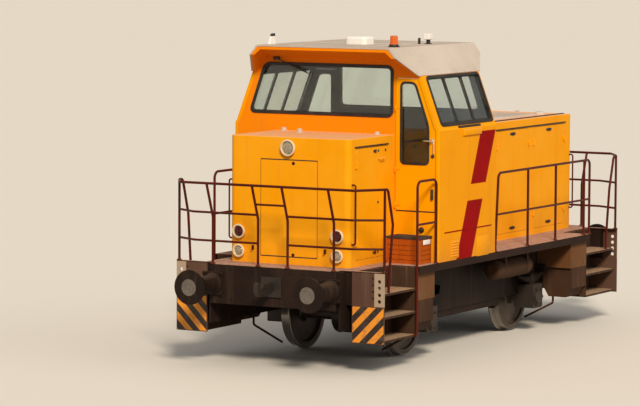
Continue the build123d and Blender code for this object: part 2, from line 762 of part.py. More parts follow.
def wing_cut():
    """What is cut from the front visor's sides, below a line that rises to its tip."""
    tip = cab_front + visor + 1
    outline = [(cab_front + eave_overhang, eave_z), (tip, break_z), (tip, eave_z - 1),
               (cab_front + eave_overhang, eave_z - 1)]
    return prism_y(outline, (-half_width, half_width))


def cab_roof():
    """Roof shell with sloping sides, overhanging both end walls, its wings cut back below."""
    over_cab = roof_section(0, (cab_rear, cab_front))
    over_cab -= roof_section(roof_shell, (cab_rear - 1, cab_front + 1))
    visor_x = (cab_front, cab_front + visor)
    over_visor = roof_section(0, visor_x)
    over_visor -= roof_section(roof_sheet, (visor_x[0] - 1, visor_x[1] + 1))
    over_visor -= wing_cut()
    return fuse([over_cab, over_visor, other_end(over_visor)])


def visor_lining():
    """Lining below the front visor: its sloping soffit and the inner faces of its wings."""
    x = (cab_front, cab_front + visor - 6)
    sides = roof_section(roof_sheet, x) - roof_section(roof_shell + lining_seat, (x[0] - 1, x[1] + 1))
    slope = [(x[0], break_z - 40), (x[1], roof_z - roof_shell), (x[1], roof_z - roof_sheet),
             (x[0], roof_z - roof_sheet)]
    soffit = prism_y(slope, (-roof_y + roof_shell - 5, roof_y - roof_shell + 5))
    return fuse([sides - wing_cut(), soffit])


save("cab_roof", cab_roof())
floor = block((cab_rear + cab_wall, cab_front - cab_wall),
              (-half_width + cab_wall, half_width - cab_wall), (floor_z - floor_plate, floor_z))
save("cab_floor", floor)


def door_hinge(z, moving):
    """Half a lift-off hinge of the cab door, at the front wall's face."""
    axis_x = cab_front + knuckle_radius + 2
    low = z + knuckle_gap / 2 if moving else z - knuckle_gap / 2 - knuckle_length
    high = low + knuckle_length
    barrel = rod((axis_x, door_hinge_y, low), (axis_x, door_hinge_y, high), knuckle_radius)
    side = 1 if moving else -1
    strap_y = sorted((door_hinge_y, door_hinge_y + side * (70 if moving else 12)))
    strap = block((cab_front, cab_front + 8), strap_y, (low, high))
    web = block((cab_front, axis_x), sorted((door_hinge_y, door_hinge_y + side * 10)), (low, high))
    return fuse([barrel, strap, web])


def cab_door():
    """Door leaf with its tapered outer edge and tall window."""
    x = (cab_front - door_thickness, cab_front)
    leaf = prism_x(door_outline(door_gap), x)
    leaf -= rounded_prism_x(door_window, (x[0] - 1, x[1] + 1), door_window_corner)
    return fuse([leaf] + [door_hinge(z, True) for z in door_hinges])


def door_pane():
    """Pane in the middle of the door's thickness."""
    middle = cab_front - door_thickness / 2
    x = (middle - glass_thickness / 2, middle + glass_thickness / 2)
    return rounded_prism_x(door_window, x, door_window_corner)


save("cab_door_front", cab_door())
save("cab_door_rear", other_end(cab_door()))
save("door_glass_front", door_pane())
save("door_glass_rear", other_end(door_pane()))
front_wall = fuse([cab_end_wall(), visor_lining()] + [door_hinge(z, False) for z in door_hinges])
save("cab_front_wall", front_wall)
save("cab_rear_wall", other_end(front_wall))


def control_desk():
    """Desk under the windscreen, with a sloping top that overhangs its foot."""
    back = cab_front - cab_wall
    outline = [(back - 300, floor_z), (back, floor_z), (back, floor_z + 900), (back - 90, floor_z + 900),
               (back - 130, floor_z + 860), (back - 420, floor_z + 800),
               (back - 430, floor_z + 740), (back - 300, floor_z + 700)]
    return prism_y(outline, (250 - half_width, 200))


def driver_seat():
    """Seat on a round foot and column, its back leaning away from the desk."""
    x = 1150.0
    y = 850 - half_width
    half = 230.0
    foot = rod((x, y, floor_z), (x, y, floor_z + 25), 190)
    column = rod((x, y, floor_z + 25), (x, y, floor_z + 420), 55)
    cushion = block((x - half, x + half), (y - half, y + half), (floor_z + 410, floor_z + 520))
    cushion = fillet(cushion.edges(), 35)
    outline = [(x - 230, floor_z + 470), (x - 120, floor_z + 470),
               (x - 190, floor_z + 1060), (x - 285, floor_z + 1060)]
    back = prism_y(outline, (y - half + 10, y + half - 10))
    back = fillet(back.edges(), 30)
    return fuse([foot, column, cushion, back])


def step_box():
    """Box to step on, below a cab door."""
    y = (hood_half_width + 60, half_width - 100)
    box = block((cab_front, cab_front + 330), y, (deck_z, rail + 1640))
    return fillet(box.edges().filter_by(Axis.Z), 20)


save("control_desk", control_desk())
save("driver_seat", driver_seat())
save("step_boxes", [step_box(), other_end(step_box())])


def post_lean(foot_x, z):
    """X of an end platform post at a height above its knee."""
    knee = knee_height - 60
    return foot_x + rail_lean * (z - knee) / (rail_height - knee)


def end_railing():
    """Handrails of the end platform: bowed rails, leaning posts and the ladder handrails."""
    post_y = rail_line
    foot_x = headstock_x - 20
    lean_x = foot_x + rail_lean
    bend_y = half_width - 260
    corner = recess_x1 + 30
    top = [(corner, post_y, rail_height), (lean_x, bend_y, rail_height)]
    foot_y = half_width - 70
    ladder = [(3300, foot_y, tread_heights[2] + seat_gap), (3300, foot_y, rail + 1150),
              (3290, post_y, rail + 1900), (3430, post_y, rail_height)]
    left = ladder + top
    full = left + [(x, -y, z) for x, y, z in left[::-1]]
    pieces = [tube(full, 60)]
    for y in (900, 220, -220, -900):
        post_line = [(foot_x, y, deck_z), (foot_x, y, knee_height - 60), (lean_x, y, rail_height)]
        pieces.append(tube(post_line, 80))
    short_z = rail + 2110.0
    short_x = post_lean(foot_x, short_z)
    pieces.append(rod((short_x, -220, short_z), (short_x, 220, short_z), 14))
    for side in (-1, 1):
        post = rod((corner, side * post_y, deck_z), (corner, side * post_y, rail_height), tube_radius)
        pieces.append(post)
        for z, x in ((knee_height, post_lean(foot_x, knee_height)), (toe_height, foot_x)):
            points = [(x, side * 220, z), (x, side * (half_width - 370), z), (corner, side * post_y, z)]
            pieces.append(tube(points, 60, 15))
    return fuse(pieces)


save("end_railings", [end_railing(), turned(end_railing())])


def walkway_railing():
    """Handrail along the walkway beside the long hood."""
    y = rail_line
    front_x = (370.0, 290.0)
    rear_x = -2610.0
    middle_z = rail + 1800.0
    share = (middle_z - deck_z) / (rail_height - deck_z)
    middle_x = front_x[0] + (front_x[1] - front_x[0]) * share
    pieces = [tube([(front_x[0], y, deck_z), (front_x[0], y, deck_z + 80), (front_x[1], y, rail_height),
                    (rear_x, y, rail_height), (rear_x, y, deck_z)], 80)]
    pieces.append(rod((middle_x, y, middle_z), (rear_x, y, middle_z), 15))
    for x in (-620, -1500, -2430):
        pieces.append(rod((x, y, deck_z), (x, y, rail_height), tube_radius))
    return fuse(pieces)


def cab_handrail():
    """Inverted U between the ladder and the cab, its front leg going on to the lowest tread."""
    y = rail_line
    top = rail + 2400.0
    legs = tube([(2100, y, deck_z), (2100, y, top), (2625, y, top), (2625, y, tread_heights[0])], 90)
    bar = rod((2100, y, rail + 1840), (2625, y, rail + 1840), 15)
    lug = block((2605, 2645), (half_width - 50, y), (tread_heights[0] - 25, tread_heights[0] + 20))
    return fuse([legs, bar, lug])


save("walkway_railings", [walkway_railing(), mirrored(walkway_railing())])
save("cab_handrails", [cab_handrail(), mirrored(cab_handrail())])


def corner_handle(x):
    """Upright handle at a hood's rounded corner."""
    y = hood_half_width
    points = [(x, y, rail + 1600), (x, y + 55, rail + 1600), (x, y + 55, rail + 2370), (x, y, rail + 2370)]
    return tube(points, 30, 11)


handle = corner_handle(short_hood_x - hood_corner)
rear_handle = corner_handle(long_hood_x + hood_corner)
save("hood_handles", [handle, mirrored(handle), rear_handle, mirrored(rear_handle)])

# Lamps at the short hood end: Y, Z, rim radius
lamp_y = hood_half_width - 155
lamp_depth = 55.0
lens_depth = 26.0
lamp_table = [(0, rail + 2820, 110), (-lamp_y, rail + 1705, 95), (lamp_y, rail + 1705, 95),
              (-lamp_y, rail + 1450, 88), (lamp_y, rail + 1450, 88)]


def lamp(y, z, radius, face_x, out):
    """Round lamp housing: neck, flared and rolled rim, and the recess of its lens."""
    profile = [(0, 0), (0, radius - 22), (18, radius - 18), (34, radius - 2), (44, radius),
               (52, radius - 4), (lamp_depth, radius - 12), (lamp_depth, radius - 20),
               (lens_depth, radius - 30), (lens_depth, 0)]
    face = make_face(Polyline(*[(face_x + out * along, y, z + r) for along, r in profile], close=True))
    return revolve(face, Axis((face_x, y, z), (1, 0, 0)))


lamps = [lamp(y, z, r, short_hood_x, 1) for y, z, r in lamp_table]
lamps += [lamp(y, z, r, long_hood_x, -1) for y, z, r in lamp_table]
save("lamps", lamps)


def domed_rod(x, y, z, height, radius, edge):
    """Upright round body with its top edge rounded."""
    body = rod((x, y, z), (x, y, z + height), radius)
    return fillet(body.edges().filter_by(GeomType.CIRCLE).sort_by(Axis.Z)[-1], edge)


def beacon():
    """Warning lamp at the roof's front corner: foot and rounded dome."""
    x = cab_front - 40
    y = roof_y - 150
    foot = rod((x, y, roof_z), (x, y, roof_z + 40), 60)
    return fuse([foot, domed_rod(x, y, roof_z + 40, 110, 52, 22)])


def roof_case():
    """Low case in the middle of the roof, with rounded corners and top."""
    case = block((1290, 1570), (-150, 170), (roof_z, roof_z + 105))
    case = fillet(case.edges().filter_by(Axis.Z), 60)
    return fillet(case.faces().sort_by(Axis.Z)[-1].edges(), 35)


def horn(x, y):
    """Horn in a rounded housing on its post."""
    post = rod((x, y, roof_z), (x, y, roof_z + 70), 26)
    head = block((x - 50, x + 60), (y - 45, y + 45), (roof_z + 60, roof_z + 140))
    return fuse([post, fillet(head.edges(), 12)])


def aerial_fin(y):
    """Tapered aerial housing at the roof's right side."""
    outline = [(2040, roof_z), (2200, roof_z), (2120, roof_z + 135), (2060, roof_z + 140)]
    return prism_y(outline, (y - 14, y + 14))


def hood_panel(x):
    """Raised panel on the long hood's top, with a sloping edge."""
    y = (270 - hood_half_width, hood_half_width - 270)
    panel = block(x, y, (hood_top, hood_top + 25))
    return chamfer(panel.faces().sort_by(Axis.Z)[-1].edges(), 12)


horn_y = roof_y - 240
bracket = block((940, 980), (horn_y - 108, horn_y - 92), (roof_z, roof_z + 80))
save("beacon", beacon())
save("roof_fittings", [roof_case(), horn(890, horn_y), bracket, aerial_fin(50 - roof_y)])
stack_y = 430 - hood_half_width
stack = rod((-3080, stack_y, hood_top), (-3080, stack_y, hood_top + 60), 110)
outlet = domed_rod(-2900, 130 - stack_y, hood_top, 45, 80, 35)
panels = [hood_panel((-2700, -1650)), hood_panel((-1600, -400))]
save("hood_top_fittings", panels + [stack, outlet])
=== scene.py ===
"""Looks of a two-axle diesel shunting locomotive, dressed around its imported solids.

Metres, in the solids' frame: +X to the short hood end, +Y to the left side, +Z up, z = 0 under the
wheel flanges.
"""
import math

import bmesh
import bpy
from mathutils import Matrix, Vector


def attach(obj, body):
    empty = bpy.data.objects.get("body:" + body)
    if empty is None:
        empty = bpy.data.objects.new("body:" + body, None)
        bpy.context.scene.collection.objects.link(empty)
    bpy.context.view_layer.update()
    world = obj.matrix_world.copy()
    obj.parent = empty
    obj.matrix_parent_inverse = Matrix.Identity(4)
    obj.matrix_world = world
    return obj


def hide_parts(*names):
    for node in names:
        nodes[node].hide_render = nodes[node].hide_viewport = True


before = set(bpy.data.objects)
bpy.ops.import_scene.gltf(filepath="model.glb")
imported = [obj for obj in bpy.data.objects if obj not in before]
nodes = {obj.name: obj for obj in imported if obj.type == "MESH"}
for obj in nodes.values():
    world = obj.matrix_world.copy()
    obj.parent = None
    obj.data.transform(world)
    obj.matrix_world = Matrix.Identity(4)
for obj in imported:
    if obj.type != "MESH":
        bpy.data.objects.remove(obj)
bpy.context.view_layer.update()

# Driving sizes of the solids
rail = 0.028
deck_top = rail + 1.300
half_width = 1.550
hood_half_width = 0.890
hood_top = rail + 2.955
short_hood_end = 3.290
long_hood_end = -3.360
hood_middle = (short_hood_end + long_hood_end) / 2
cab_front = 2.070
cab_rear = 0.400
cab_middle = (cab_front + cab_rear) / 2
cab_floor_top = rail + 1.950
belt_top = rail + 1.952
headstock_face = 3.720
corner_face = 3.545
buffer_face = 4.340
buffer_y = 0.875
buffer_z = rail + 1.050
roof_top = rail + 4.100
axle_x = 1.600
axle_z = rail + 0.475
tread_from = 0.470

# How far trim is set into what carries it
sunk = 0.001


def linear(hex_colour):
    """sRGB hex to the linear values that a shader takes."""
    values = [int(hex_colour[i:i + 2], 16) / 255 for i in (0, 2, 4)]
    return tuple(v / 12.92 if v <= 0.04045 else ((v + 0.055) / 1.055) ** 2.4 for v in values) + (1.0,)


def add(tree, kind, inputs=None, **settings):
    """Adds a node. An input that is given as a node takes that node's first output."""
    made = tree.nodes.new(kind)
    for key, value in settings.items():
        setattr(made, key, value)
    for key, value in (inputs or {}).items():
        if isinstance(value, bpy.types.Node):
            value = value.outputs[0]
        if isinstance(value, bpy.types.NodeSocket):
            tree.links.new(value, made.inputs[key])
        else:
            made.inputs[key].default_value = value
    return made


def new_material(name, **sockets):
    """Material with its shader, and the tree and object coordinates that its nodes use."""
    material = bpy.data.materials.new(name)
    material.use_nodes = True
    tree = material.node_tree
    shader = tree.nodes["Principled BSDF"]
    for key, value in sockets.items():
        shader.inputs[key.replace("_", " ")].default_value = value
    place = add(tree, "ShaderNodeTexCoord").outputs["Object"]
    return material, tree, shader, place


def painted_steel(name, paint, faded, dust, grime=None, streaks=0.25, top_dust=0.6, foot_dirt=0.0,
                  roughness=0.46, level=0.12, inside=None, edge_paint_and_shade=None):
    """Alkyd enamel on sheet steel, sprayed: faded patches, rain streaks below the edges, dust on
    what faces up and grime along the foot, which all break up the gloss. Inside is the middle of a
    closed body, its range of X and the colour of its inner faces, a dark colour that is painted shade
    of the closed inside. Edge paint and shade is a height, a distance from the middle line, the
    colour above and beyond them, and whether it lies on inner faces too; that colour is a real second
    paint on the end plates, and on the cab ends partly a redder paint and partly painted visor shade."""
    material, tree, shader, place = new_material(name, IOR=1.5, Specular_IOR_Level=level)
    parts = add(tree, "ShaderNodeSeparateXYZ", {"Vector": place})
    normal = place.node.outputs["Normal"]
    up = add(tree, "ShaderNodeSeparateXYZ", {"Vector": normal}).outputs["Z"]
    patches = add(tree, "ShaderNodeTexNoise",
                  {"Vector": place, "Scale": 1.3, "Detail": 5.0, "Roughness": 0.6})
    patch = add(tree, "ShaderNodeMapRange", {"Value": patches, "From Min": 0.38, "From Max": 0.66})
    base = add(tree, "ShaderNodeMixRGB", {"Fac": patch, "Color1": linear(paint), "Color2": linear(faded)})
    # A second colour above a height and beyond a distance from the middle line: real paint on the end
    # plates, partly painted visor shade on the cab ends
    if edge_paint_and_shade:
        height, beyond, edge_colour, both_faces = edge_paint_and_shade
        higher = add(tree, "ShaderNodeMapRange", {"Value": parts.outputs["Z"],
                                                  "From Min": height - 0.004, "From Max": height + 0.004})
        away = add(tree, "ShaderNodeMath", {0: parts.outputs["Y"]}, operation="ABSOLUTE")
        further = add(tree, "ShaderNodeMapRange",
                      {"Value": away, "From Min": beyond - 0.003, "From Max": beyond + 0.003})
        edged = add(tree, "ShaderNodeMath", {0: higher, 1: further}, operation="MULTIPLY")
        if not both_faces:
            facing_out = add(tree, "ShaderNodeVectorMath", {0: place, 1: normal}, operation="DOT_PRODUCT")
            outer = add(tree, "ShaderNodeMath", {0: facing_out.outputs["Value"], 1: 0.5},
                        operation="GREATER_THAN")
            edged = add(tree, "ShaderNodeMath", {0: edged, 1: outer}, operation="MULTIPLY")
        base = add(tree, "ShaderNodeMixRGB", {"Fac": edged, "Color1": base, "Color2": linear(edge_colour)})
    long_runs = add(tree, "ShaderNodeMapping", {"Vector": place, "Scale": (10.0, 10.0, 0.5)})
    runs = add(tree, "ShaderNodeTexNoise",
               {"Vector": long_runs, "Scale": 1.0, "Detail": 6.0, "Roughness": 0.65})
    run = add(tree, "ShaderNodeMapRange",
              {"Value": runs, "From Min": 0.55, "From Max": 0.80, "To Max": streaks})
    streaked = add(tree, "ShaderNodeMixRGB", {"Fac": run, "Color1": base, "Color2": linear(grime or dust)})
    grit = add(tree, "ShaderNodeTexNoise",
               {"Vector": place, "Scale": 16.0, "Detail": 8.0, "Roughness": 0.7})
    lying = add(tree, "ShaderNodeMapRange",
                {"Value": up, "From Min": 0.6, "From Max": 0.97, "To Max": top_dust})
    patchy = add(tree, "ShaderNodeMapRange",
                 {"Value": grit, "From Min": 0.3, "From Max": 0.7, "To Min": 0.45})
    on_top = add(tree, "ShaderNodeMath", {0: lying, 1: patchy}, operation="MULTIPLY")
    dusted = add(tree, "ShaderNodeMixRGB", {"Fac": on_top, "Color1": streaked, "Color2": linear(dust)})
    foot = add(tree, "ShaderNodeMapRange",
               {"Value": parts.outputs["Z"], "From Min": deck_top, "From Max": deck_top + 0.35,
                "To Min": foot_dirt, "To Max": 0.0})
    foot_patchy = add(tree, "ShaderNodeMath", {0: foot, 1: patchy}, operation="MULTIPLY")
    done = add(tree, "ShaderNodeMixRGB",
               {"Fac": foot_patchy, "Color1": dusted, "Color2": linear(grime or dust)})
    # Inner faces of a closed body take one dark colour: painted shade of the closed inside
    if inside:
        middle, (low_x, high_x), inside_shade_colour = inside
        outward = add(tree, "ShaderNodeVectorMath", {0: place, 1: middle}, operation="SUBTRACT")
        facing = add(tree, "ShaderNodeVectorMath", {0: outward, 1: normal}, operation="DOT_PRODUCT")
        inner = add(tree, "ShaderNodeMapRange",
                    {"Value": facing.outputs["Value"], "From Min": -0.001, "From Max": -0.002})
        within = add(tree, "ShaderNodeMath",
                     {0: parts.outputs["X"], 1: (low_x + high_x) / 2, 2: (high_x - low_x) / 2},
                     operation="COMPARE")
        shaded_inside = add(tree, "ShaderNodeMath", {0: inner, 1: within}, operation="MULTIPLY")
        done = add(tree, "ShaderNodeMixRGB",
                   {"Fac": shaded_inside, "Color1": done, "Color2": linear(inside_shade_colour)})
    tree.links.new(done.outputs[0], shader.inputs["Base Color"])
    dull = add(tree, "ShaderNodeMath", {0: on_top, 1: run}, operation="MAXIMUM")
    gloss = add(tree, "ShaderNodeMapRange", {"Value": dull, "To Min": roughness, "To Max": 0.85})
    tree.links.new(gloss.outputs[0], shader.inputs["Roughness"])
    # Shallow dents of the sheet, with the grit of the dust on them
    peel = add(tree, "ShaderNodeTexNoise", {"Vector": place, "Scale": 7.0, "Detail": 3.0})
    relief = add(tree, "ShaderNodeMath", {0: peel, 1: grit}, operation="ADD")
    bump = add(tree, "ShaderNodeBump", {"Height": relief, "Strength": 0.12, "Distance": 0.004})
    tree.links.new(bump.outputs[0], shader.inputs["Normal"])
    return material


def bare_metal(name, metal, rust, metallic, roughness, grain=40.0, rust_share=0.5, tread=None):
    """Cast or rolled metal with rust and grease lying in its grain. Tread is the colour of a wheel's
    polished tread, and the radius from which it shows."""
    material, tree, shader, place = new_material(name, Metallic=metallic)
    grains = add(tree, "ShaderNodeTexNoise",
                 {"Vector": place, "Scale": grain, "Detail": 7.0, "Roughness": 0.7})
    wide = add(tree, "ShaderNodeTexNoise", {"Vector": place, "Scale": 3.0, "Detail": 4.0})
    share = add(tree, "ShaderNodeMapRange",
                {"Value": wide, "From Min": 0.35, "From Max": 0.65, "To Max": rust_share})
    fine = add(tree, "ShaderNodeMapRange", {"Value": grains, "From Min": 0.35, "From Max": 0.65})
    mask = add(tree, "ShaderNodeMath", {0: share, 1: fine}, operation="MULTIPLY")
    colour = add(tree, "ShaderNodeMixRGB", {"Fac": mask, "Color1": linear(metal), "Color2": linear(rust)})
    rough = add(tree, "ShaderNodeMapRange", {"Value": mask, "To Min": roughness, "To Max": 0.9})
    if tread:
        polished, from_radius = tread
        parts = add(tree, "ShaderNodeSeparateXYZ", {"Vector": place})
        end = add(tree, "ShaderNodeMath", {0: parts.outputs["X"]}, operation="ABSOLUTE")
        along = add(tree, "ShaderNodeMath", {0: end, 1: axle_x}, operation="SUBTRACT")
        over = add(tree, "ShaderNodeMath", {0: parts.outputs["Z"], 1: axle_z}, operation="SUBTRACT")
        spoke = add(tree, "ShaderNodeCombineXYZ", {"X": along, "Z": over})
        radius = add(tree, "ShaderNodeVectorMath", {0: spoke}, operation="LENGTH").outputs["Value"]
        worn = add(tree, "ShaderNodeMapRange",
                   {"Value": radius, "From Min": from_radius - 0.003, "From Max": from_radius + 0.001})
        colour = add(tree, "ShaderNodeMixRGB", {"Fac": worn, "Color1": colour, "Color2": linear(polished)})
        rough = add(tree, "ShaderNodeMapRange", {"Value": worn, "To Min": rough, "To Max": 0.25})
    tree.links.new(colour.outputs[0], shader.inputs["Base Color"])
    tree.links.new(rough.outputs[0], shader.inputs["Roughness"])
    bump = add(tree, "ShaderNodeBump", {"Height": grains, "Strength": 0.35, "Distance": 0.002})
    tree.links.new(bump.outputs[0], shader.inputs["Normal"])
    return material


def moulded(name, colour, dusty, roughness, grain=220.0, strength=0.2):
    """Rubber or plastic from a mould: fine even grain, with dust in it."""
    material, tree, shader, place = new_material(name, IOR=1.52)
    grains = add(tree, "ShaderNodeTexNoise", {"Vector": place, "Scale": grain, "Detail": 3.0})
    wide = add(tree, "ShaderNodeTexNoise", {"Vector": place, "Scale": 5.0, "Detail": 6.0})
    share = add(tree, "ShaderNodeMapRange",
                {"Value": wide, "From Min": 0.4, "From Max": 0.75, "To Max": 0.35})
    colour_mix = add(tree, "ShaderNodeMixRGB",
                     {"Fac": share, "Color1": linear(colour), "Color2": linear(dusty)})
    tree.links.new(colour_mix.outputs[0], shader.inputs["Base Color"])
    rough = add(tree, "ShaderNodeMapRange",
                {"Value": grains, "To Min": roughness - 0.08, "To Max": roughness + 0.12})
    tree.links.new(rough.outputs[0], shader.inputs["Roughness"])
    bump = add(tree, "ShaderNodeBump", {"Height": grains, "Strength": strength, "Distance": 0.001})
    tree.links.new(bump.outputs[0], shader.inputs["Normal"])
    return material


def clear_glass(name, tint, dusty, transmission=1.0, roughness=0.02, dust=0.12):
    """Toughened flat glass or a pressed lens, with a film of road dust."""
    material, tree, shader, place = new_material(name, IOR=1.5)
    wide = add(tree, "ShaderNodeTexNoise",
               {"Vector": place, "Scale": 2.2, "Detail": 6.0, "Roughness": 0.65})
    film = add(tree, "ShaderNodeMapRange",
               {"Value": wide, "From Min": 0.35, "From Max": 0.75, "To Max": dust})
    colour = add(tree, "ShaderNodeMixRGB", {"Fac": film, "Color1": linear(tint), "Color2": linear(dusty)})
    tree.links.new(colour.outputs[0], shader.inputs["Base Color"])
    rough = add(tree, "ShaderNodeMapRange",
                {"Value": film, "To Min": roughness, "To Max": 0.5 + roughness})
    tree.links.new(rough.outputs[0], shader.inputs["Roughness"])
    clear = add(tree, "ShaderNodeMapRange",
                {"Value": film, "To Min": transmission, "To Max": transmission - 0.5})
    tree.links.new(clear.outputs[0], shader.inputs["Transmission Weight"])
    return material


def striped_paint(name, light, dark, pitch):
    """Two enamels masked off in slanting bands, sprayed on plate, scuffed and dusty."""
    material, tree, shader, place = new_material(name, Roughness=0.5)
    parts = add(tree, "ShaderNodeSeparateXYZ", {"Vector": place})
    away = add(tree, "ShaderNodeMath", {0: parts.outputs["Y"]}, operation="ABSOLUTE")
    across = add(tree, "ShaderNodeMath", {0: away, 1: parts.outputs["Z"]}, operation="SUBTRACT")
    turns = add(tree, "ShaderNodeMath", {0: across, 1: 1.0 / pitch}, operation="MULTIPLY")
    part = add(tree, "ShaderNodeMath", {0: turns}, operation="FRACT")
    band = add(tree, "ShaderNodeMapRange", {"Value": part, "From Min": 0.49, "From Max": 0.51})
    colour = add(tree, "ShaderNodeMixRGB", {"Fac": band, "Color1": linear(light), "Color2": linear(dark)})
    scuffs = add(tree, "ShaderNodeTexNoise",
                 {"Vector": place, "Scale": 9.0, "Detail": 8.0, "Roughness": 0.7})
    scuff = add(tree, "ShaderNodeMapRange",
                {"Value": scuffs, "From Min": 0.5, "From Max": 0.75, "To Max": 0.7})
    worn = add(tree, "ShaderNodeMixRGB", {"Fac": scuff, "Color1": colour, "Color2": linear("6A5648")})
    tree.links.new(worn.outputs[0], shader.inputs["Base Color"])
    bump = add(tree, "ShaderNodeBump", {"Height": scuffs, "Strength": 0.2, "Distance": 0.003})
    tree.links.new(bump.outputs[0], shader.inputs["Normal"])
    return material


# Enamels: paint, faded paint, dust
# Middle, X range and colour of the cab's inner faces: the dark grey is painted shade of the closed cab
cab_inside_shade = ((cab_middle, 0.0, rail + 2.900), (cab_rear + 0.001, cab_front - 0.001), "4A4640")
enamel_yellow = painted_steel("alkyd_enamel_traffic_yellow", "F7A000", "F9A91E", "E1B093", grime="B5713A",
                              streaks=0.22, top_dust=0.9, foot_dirt=0.2, level=0.06)
cab_yellow = painted_steel("alkyd_enamel_cab_yellow", "F7A300", "F39B00", "C08A5A", grime="B5713A",
                           streaks=0.3, foot_dirt=0.4, level=0.06, inside=cab_inside_shade)
# Cab end walls, visors and their linings: deeper orange above the door sills, partly a redder paint and
# partly painted shade of the roof visor
end_yellow_and_visor_shade = painted_steel("alkyd_enamel_cab_end_orange_and_painted_visor_shade", "F7A000", "F39800", "C08A5A",
                           grime="B5713A", streaks=0.3, foot_dirt=0.4, inside=cab_inside_shade,
                           edge_paint_and_shade=(belt_top, -1.0, "F78A00", True))
enamel_grey = painted_steel("alkyd_enamel_pale_grey", "CBBFB3", "C0B2A5", "9A8470", streaks=0.3,
                            top_dust=0.35, inside=cab_inside_shade)
enamel_white = painted_steel("alkyd_enamel_white", "F0EEEA", "E6E2DC", "A89A8A", top_dust=0.3)
# Step boxes: darker orange than the body, partly a darker paint and partly painted shade of the boxes
step_paint = painted_steel("darker_orange_step_enamel_and_painted_shade", "B8560E", "A04810", "5A2A12", streaks=0.6,
                           top_dust=1.0, roughness=0.6)
enamel_black = painted_steel("bitumen_black_on_frame_steel", "1E1511", "2E211A", "5C4A3C", streaks=0.5,
                             roughness=0.6)
enamel_plate = painted_steel("grey_brown_primer_on_plate", "3A281E", "4A3628", "B8977A", streaks=0.3,
                             top_dust=0.95, roughness=0.65)
bracket_paint = painted_steel("dusty_brown_on_plate", "6A4428", "745034", "7A5E46", streaks=0.5,
                              roughness=0.65)
upright_paint = painted_steel("brown_and_white_on_plate", "5A4034", "644A3C", "8A705C", streaks=0.5,
                              roughness=0.65, edge_paint_and_shade=(rail + 0.862, 1.405, "B09A84", False))
sand_box_paint = painted_steel("rusty_black_on_sand_boxes", "3E2A1E", "4C3424", "7A5A44", streaks=0.5,
                               top_dust=0.7, roughness=0.7)
walkway_paint = painted_steel("gritted_walkway_paint", "2A1D17", "33241C", "C9A08C", grime="4A362C",
                              top_dust=0.95, roughness=0.75)
enamel_rail = painted_steel("gloss_enamel_oxblood_brown", "4A160C", "561E10", "7A4630", streaks=0.15,
                            top_dust=0.5, roughness=0.35)
enamel_red = painted_steel("alkyd_enamel_signal_red", "9E0000", "8E0000", "6A1206", streaks=0.15,
                           top_dust=0.3, foot_dirt=0.1, roughness=0.4, level=0.03)
engine_enamel = painted_steel("engine_grey_enamel", "70787C", "666E72", "4A4238", streaks=0.2, top_dust=0.4)
cream_enamel = painted_steel("stove_enamel_cream", "EBD9B8", "E0C8A0", "A08060", streaks=0.3, top_dust=0.5)
warning_stripes = striped_paint("masked_enamel_orange_and_black", "F09626", "241812", pitch=0.22)

# Metals: metal, rust or grease, metallic share, roughness
wheel_steel = bare_metal("rolled_wheel_steel", "5A4F46", "46291A", 0.6, 0.5, tread=("8C857C", tread_from))
worn_steel = bare_metal("rubbed_buffer_steel", "8A8278", "3A2E26", 0.9, 0.35, rust_share=0.8)
cast_steel = bare_metal("cast_steel_with_grease", "3A342F", "4A3222", 0.55, 0.5)
radiator_fins = bare_metal("radiator_aluminium_fins", "55575A", "3A3632", 0.8, 0.5, grain=90.0)
# The reflectors' tan is partly a painted reflection of the brownish lamp inside; the darker patches are
# tarnish
reflector_with_painted_reflection = bare_metal("vacuum_plated_reflector", "B9A88E", "8A7458", 1.0, 0.18, rust_share=0.2)
chrome = bare_metal("chromed_brass", "E6E2DA", "B8A88C", 1.0, 0.22, rust_share=0.25)

# Glass, rubber, plastic and cloth: colour, dust, and roughness where it isn't glass
cab_glass = clear_glass("toughened_glass_cab", "E6EEEA", "B0A494", dust=0.05)
amber = clear_glass("polycarbonate_amber", "FF7A10", "C08050", transmission=0.55, roughness=0.15)
lens_glass = clear_glass("pressed_lens_glass", "EDE2CC", "C8B896", transmission=0.8, roughness=0.08)
red_glass = clear_glass("pressed_lens_deep_red", "4A0202", "3A1010", transmission=0.2, roughness=0.12)
window_rubber = moulded("epdm_rubber_black", "14110F", "5A4636", 0.6)
floor_rubber = moulded("ribbed_rubber_floor", "2A2826", "6A5A4C", 0.7)
black_plastic = moulded("glass_filled_nylon_black", "1A1716", "5A4A3C", 0.5)
desk_plastic = moulded("abs_desk_grey", "4A4C4E", "7A7068", 0.5)
dial_enamel = moulded("printed_dial_cream", "E4DCC8", "C8B898", 0.4)
seat_cloth = moulded("seat_cloth_dark", "23262E", "5A5048", 0.9, grain=500.0, strength=0.6)

